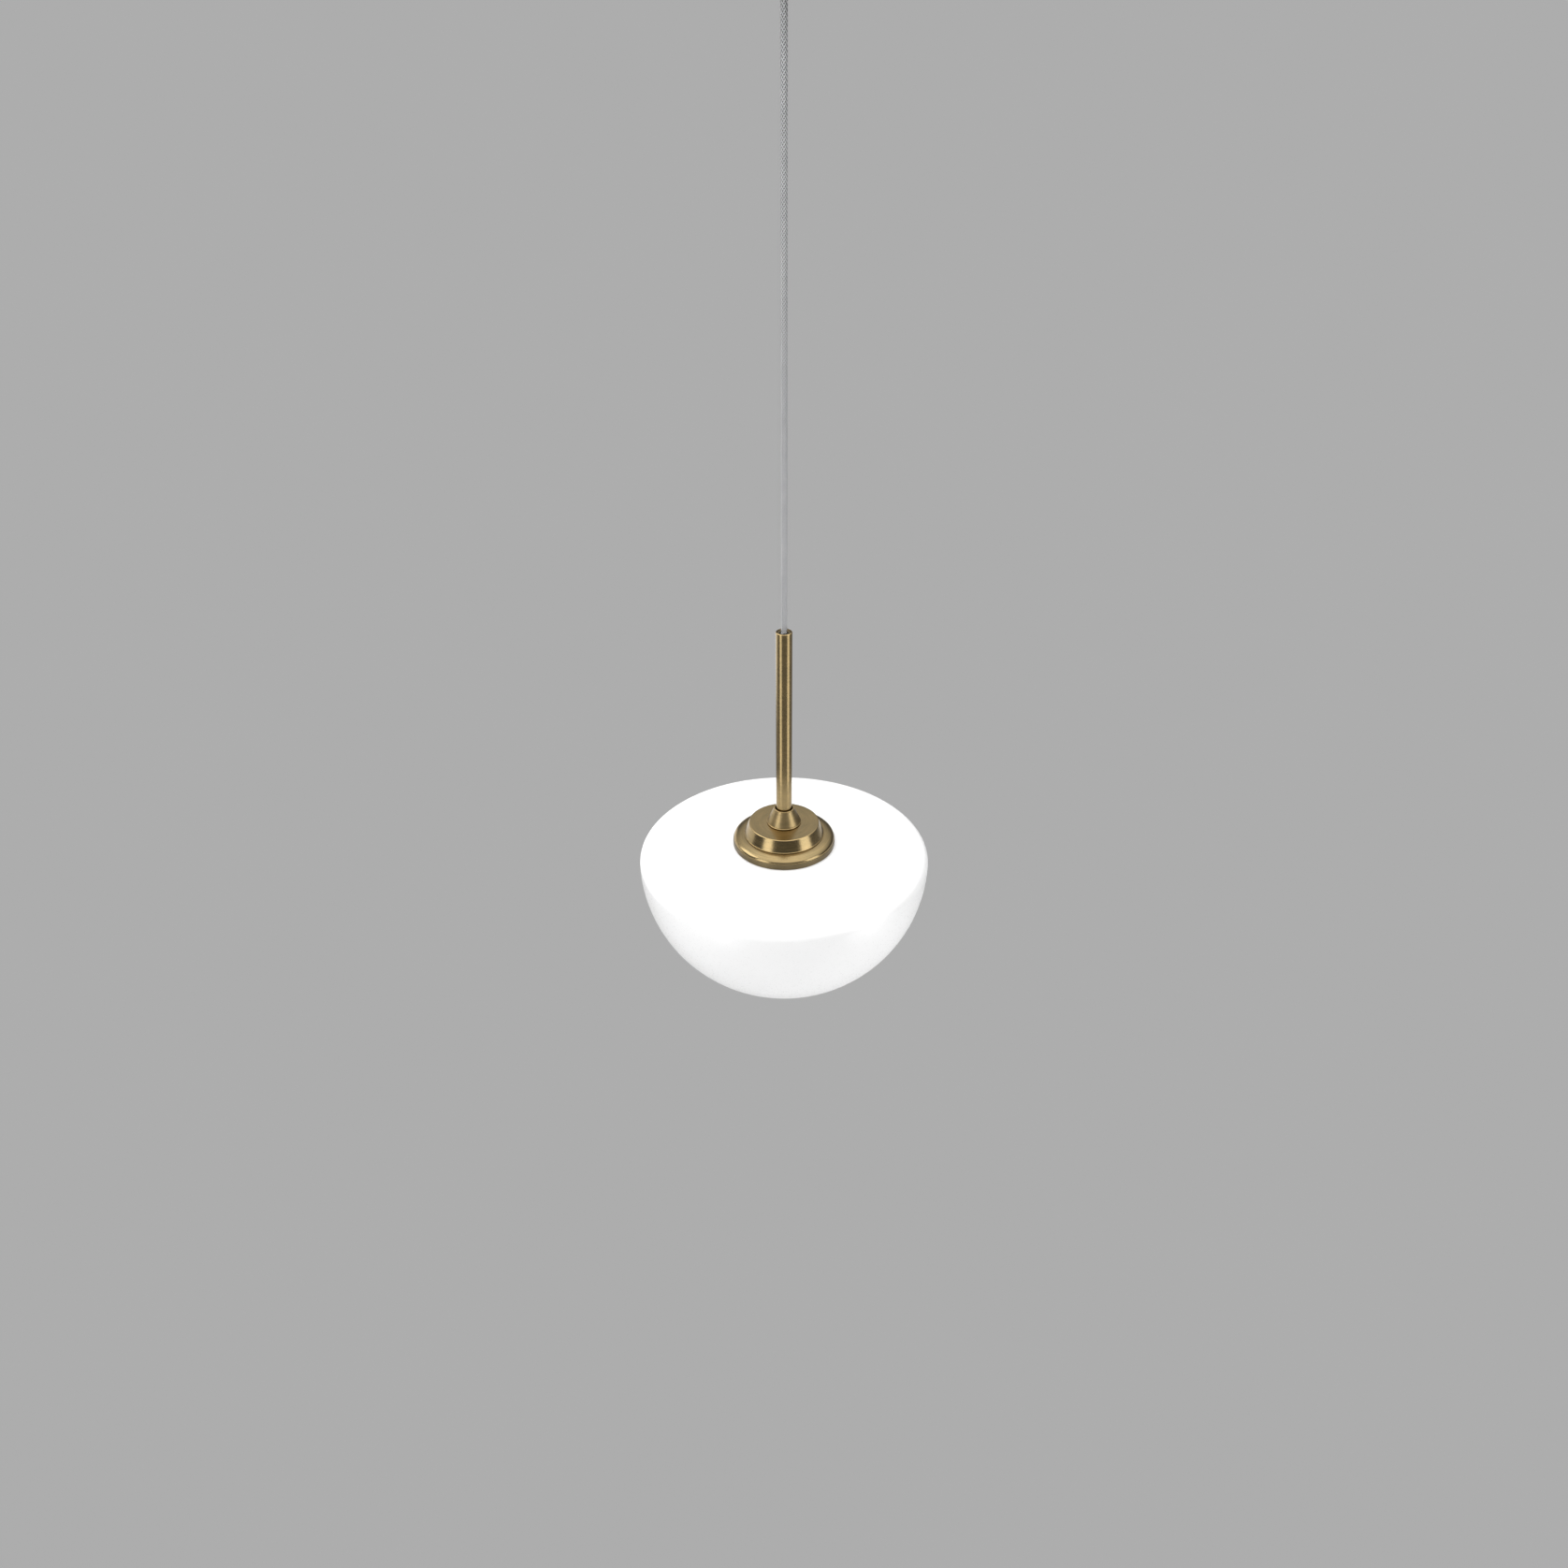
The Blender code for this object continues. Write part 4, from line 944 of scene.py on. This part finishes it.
def lampholder():
    """The cap with a groove above its foot, the skirt with its collar and lip, the core and the screw shell."""
    low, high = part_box("lampholder_cap")
    wall, neck_r, bore_r, groove = 0.0016, 0.0068, THREAD_R + PLAY, 0.0004
    body_r, neck_foot, groove_z = high.x, high.z - 0.004, low.z + 0.0018
    outline = [(neck_r, high.z, 0.0006), (neck_r, neck_foot, 0.0010), (body_r, neck_foot, 0.0078)]
    outline += [(body_r, groove_z + groove), (body_r - groove, groove_z), (body_r, groove_z - groove)]
    outline += [(body_r, low.z, 0.0003), (body_r - wall, low.z), (body_r - wall, neck_foot - wall, 0.0062)]
    outline += [(bore_r, neck_foot - wall), (bore_r, high.z, 0.0004)]
    stand_in(turned("holder_cap", rounded(outline, count=10), 96), "lampholder_cap")

    low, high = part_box("lampholder_skirt")
    top_r, waist_r, foot_r, lip_r = high.x, high.x - 0.0012, high.x - 0.0018, high.x - 0.0010
    outline = [(top_r, high.z, 0.0004), (top_r, high.z - 0.006, 0.0005), (waist_r, high.z - 0.007, 0.0005)]
    outline += [(foot_r, low.z + 0.0022, 0.0004), (lip_r, low.z + 0.0015, 0.0003)]
    outline += [(lip_r, low.z, 0.0005), (0.0164, low.z, 0.0004), (0.0168, high.z)]
    stand_in(turned("holder_skirt", rounded(outline), 96), "lampholder_skirt")

    low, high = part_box("lampholder_core")
    outline = [(0, high.z), (high.x, high.z, 0.0008), (high.x, low.z, 0.0008), (0, low.z)]
    stand_in(turned("holder_core", rounded(outline, closed=False), 96), "lampholder_core")

    thread_shell("holder_thread", "lampholder_thread_shell", 0.0006)


def bulb():
    """The bulb: its tip contact and insulator, its screw shell, its collar with the board, and its globe."""
    low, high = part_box("bulb_tip_contact")
    outline = [(0, high.z), (0.0030, high.z - 0.0004, 0.0015), (high.x, low.z + 0.0006, 0.0006)]
    outline += [(high.x, low.z), (0, low.z)]
    stand_in(turned("tip_contact", rounded(outline, closed=False), 48), "bulb_tip_contact")

    low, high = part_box("bulb_insulator")
    outline = [(0, high.z), (0.0058, high.z, 0.0005), (high.x, low.z + 0.0004, 0.0004)]
    outline += [(high.x, low.z), (0, low.z)]
    stand_in(turned("base_insulator", rounded(outline, closed=False), 72), "bulb_insulator")

    thread_shell("bulb_thread", "bulb_base_shell", 0.0008)

    low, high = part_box("bulb_collar")
    roof_z, wire_hole_r = high.z - 0.0018, 0.0040
    outline = [(0.0133, high.z, 0.0004), (0.0140, high.z - 0.004, 0.006), (high.x, low.z + 0.0008, 0.0008)]
    outline += [(high.x, low.z), (0.0211, low.z), (0.0125, high.z - 0.0050, 0.0006)]
    outline += [(0.0120, roof_z), (wire_hole_r, roof_z), (wire_hole_r, high.z)]
    stand_in(turned("bulb_neck", rounded(outline), 96), "bulb_collar")

    low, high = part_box("led_board")
    hole_r, ease = 0.0020, 0.0002
    outline = [(high.x, high.z, ease), (high.x, low.z, ease), (hole_r, low.z), (hole_r, high.z)]
    stand_in(turned("led_disc", rounded(outline), 96), "led_board")

    low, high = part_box("bulb_globe")
    radius, wall = high.x, 0.0012
    centre = low.z + radius
    start = [math.degrees(math.asin((high.z - centre) / r)) for r in (radius, radius - wall)]
    outer = arc(0, centre, radius, start[0], -90, 44)
    inner = arc(0, centre, radius - wall, -90, start[1], 36)
    outer[-1], inner[0] = (0.0, low.z), (0.0, low.z + wall)
    stand_in(turned("globe", inner + outer, 96), "bulb_globe")


# ------------------------ studio
def camera():
    pitch = math.radians(CAMERA_PITCH)
    data = bpy.data.cameras.new("camera")
    data.lens = CAMERA_LENS
    data.sensor_width = 36.0
    obj = add("camera", data)
    obj.location = LOOKS_AT + CAMERA_DISTANCE * Vector((0, -math.cos(pitch), math.sin(pitch)))
    obj.rotation_euler = (math.pi / 2 - pitch, 0, 0)
    bpy.context.scene.camera = obj


def softbox(name, centre, size, radiance, aim=(0, 0, -0.75), glossy=True):
    """A soft rectangular light, (width, height) in metres, which the camera doesn't see."""
    data = bpy.data.lights.new(name, "AREA")
    data.shape = "RECTANGLE"
    data.size, data.size_y = size
    data.energy = radiance * math.pi * size[0] * size[1]
    lamp = add(name, data)
    lamp.location = centre
    lamp.rotation_euler = (Vector(aim) - Vector(centre)).to_track_quat("-Z", "Y").to_euler()
    lamp.visible_camera = False
    lamp.visible_glossy = glossy
    return lamp


def around(azimuth, distance, height):
    """A place round the light; the azimuth turns from the camera's side (-Y) towards +X."""
    turn = math.radians(azimuth)
    return (distance * math.sin(turn), -distance * math.cos(turn), height)


def lights():
    """Tall strips and softer boxes that show only in gloss, and fills that light only matt surfaces."""
    reflected = [
        softbox("strip_left", around(-46, 1.3, -0.42), (0.58, 0.90), 3.0, (0, 0, -0.42)),
        softbox("strip_left_low", around(-46, 1.3, -1.42), (0.58, 1.10), 2.1, (0, 0, -1.42)),
        softbox("strip_right", around(63, 1.3, -0.42), (0.72, 0.90), 2.9, (0, 0, -0.42)),
        softbox("strip_right_low", around(63, 1.3, -1.42), (0.72, 1.10), 1.9, (0, 0, -1.42)),
        softbox("box_high_left", around(-96, 1.2, 0.10), (1.0, 0.75), 3.0),
        softbox("box_left", around(-125, 1.5, -0.85), (1.7, 1.1), 1.1),
        softbox("box_behind", around(-162, 1.5, -1.10), (0.8, 0.6), 0.9),
    ]
    for lamp in reflected:
        lamp.visible_diffuse = False
    softbox("fill", (0.35, -1.20, -2.00), (2.2, 1.2), 1.15, (0, 0, -0.87), glossy=False)
    softbox("left_fill", around(-85, 1.3, -1.75), (1.2, 0.9), 2.0, (0, 0, -0.90), glossy=False)
    softbox("right_fill", around(85, 1.3, -1.75), (1.2, 0.9), 3.4, (0, 0, -0.90), glossy=False)
    softbox("low_fill", (0.10, -0.45, -2.25), (2.0, 1.6), 1.0, (0, 0, -0.95), glossy=False)
    softbox("cord_fill", (-1.3, -0.9, 0.15), (0.9, 0.9), 4.2, (0, 0, -0.35), glossy=False)


def sky():
    """The studio round the light: dim at eye level, pale below, and bright overhead."""
    world = bpy.data.worlds.new("world")
    world.use_nodes = True
    tree = world.node_tree
    place = tree.nodes.new("ShaderNodeSeparateXYZ")
    tree.links.new(tree.nodes.new("ShaderNodeTexCoord").outputs["Generated"], place.inputs[0])
    ramp = tree.nodes.new("ShaderNodeValToRGB")
    share = tree.nodes.new("ShaderNodeMapRange")
    share.inputs["From Min"].default_value = -1.0
    tree.links.new(place.outputs["Z"], share.inputs["Value"])
    tree.links.new(share.outputs["Result"], ramp.inputs["Fac"])
    stops = [(-0.5, 0.36), (-0.1, 0.26), (0.1, 0.16), (0.3, 0.22), (0.6, 1.0), (0.85, 2.0)]
    ramp.color_ramp.elements.remove(ramp.color_ramp.elements[1])
    for i, (height, value) in enumerate(stops):
        element = ramp.color_ramp.elements.new((height + 1) / 2) if i else ramp.color_ramp.elements[0]
        element.position = (height + 1) / 2
        element.color = (value / 2, value / 2, value / 2, 1.0)
    background = tree.nodes["Background"]
    tree.links.new(ramp.outputs["Color"], background.inputs["Color"])
    background.inputs["Strength"].default_value = 2.0
    bpy.context.scene.world = world


def grey_stage():
    """The plain pale floor, which curves up into a wall all round and closes far above."""
    far, bend, top = 7.0, 2.0, 6.0
    profile = [(0.0, top), (far - bend, top)] + arc(far - bend, top - bend, bend, 90, 0, 12)[1:]
    profile += arc(far - bend, FLOOR_Z + bend, bend, 0, -90, 12) + [(0.0, FLOOR_Z)]
    floor = turned("floor", profile, 64)
    nodes = Nodes("paper")
    darker, paler = BACKDROP_GREY * 0.998, BACKDROP_GREY * 1.002
    shade = nodes.spread(nodes.noise(2.0), 0.3, 0.7, darker, paler)
    glow = nodes.add("Emission")
    nodes.wire(shade, glow.inputs["Color"])
    nodes.wire(glow.outputs[0], nodes.tree.nodes["Material Output"].inputs["Surface"])
    floor.data.materials.append(nodes.material)
    floor.visible_diffuse = floor.visible_glossy = floor.visible_transmission = floor.visible_shadow = False


def plain_nodes():
    """CAD nodes whose shape is right keep it, and take their slot's finish."""
    for node, obj in frame["nodes"].items():
        if not obj.hide_render:
            for slot in obj.material_slots:
                slot.material = FINISHES[SLOTS[node]]


camera()
cord()
stem()
cone()
step()
flange()
felt_ring()
glass()
canopy()
canopy_screw(-1, "canopy_screw_left")
canopy_screw(1, "canopy_screw_right")
cord_grip()
hex_nut("grip_nut", "cord_grip_nut")
washer("grip_washer", "cord_grip_washer")
bracket()
terminals()
claw_holder()
lampholder()
bulb()
plain_nodes()
grey_stage()
sky()
lights()
bpy.context.scene.view_settings.view_transform = "Standard"
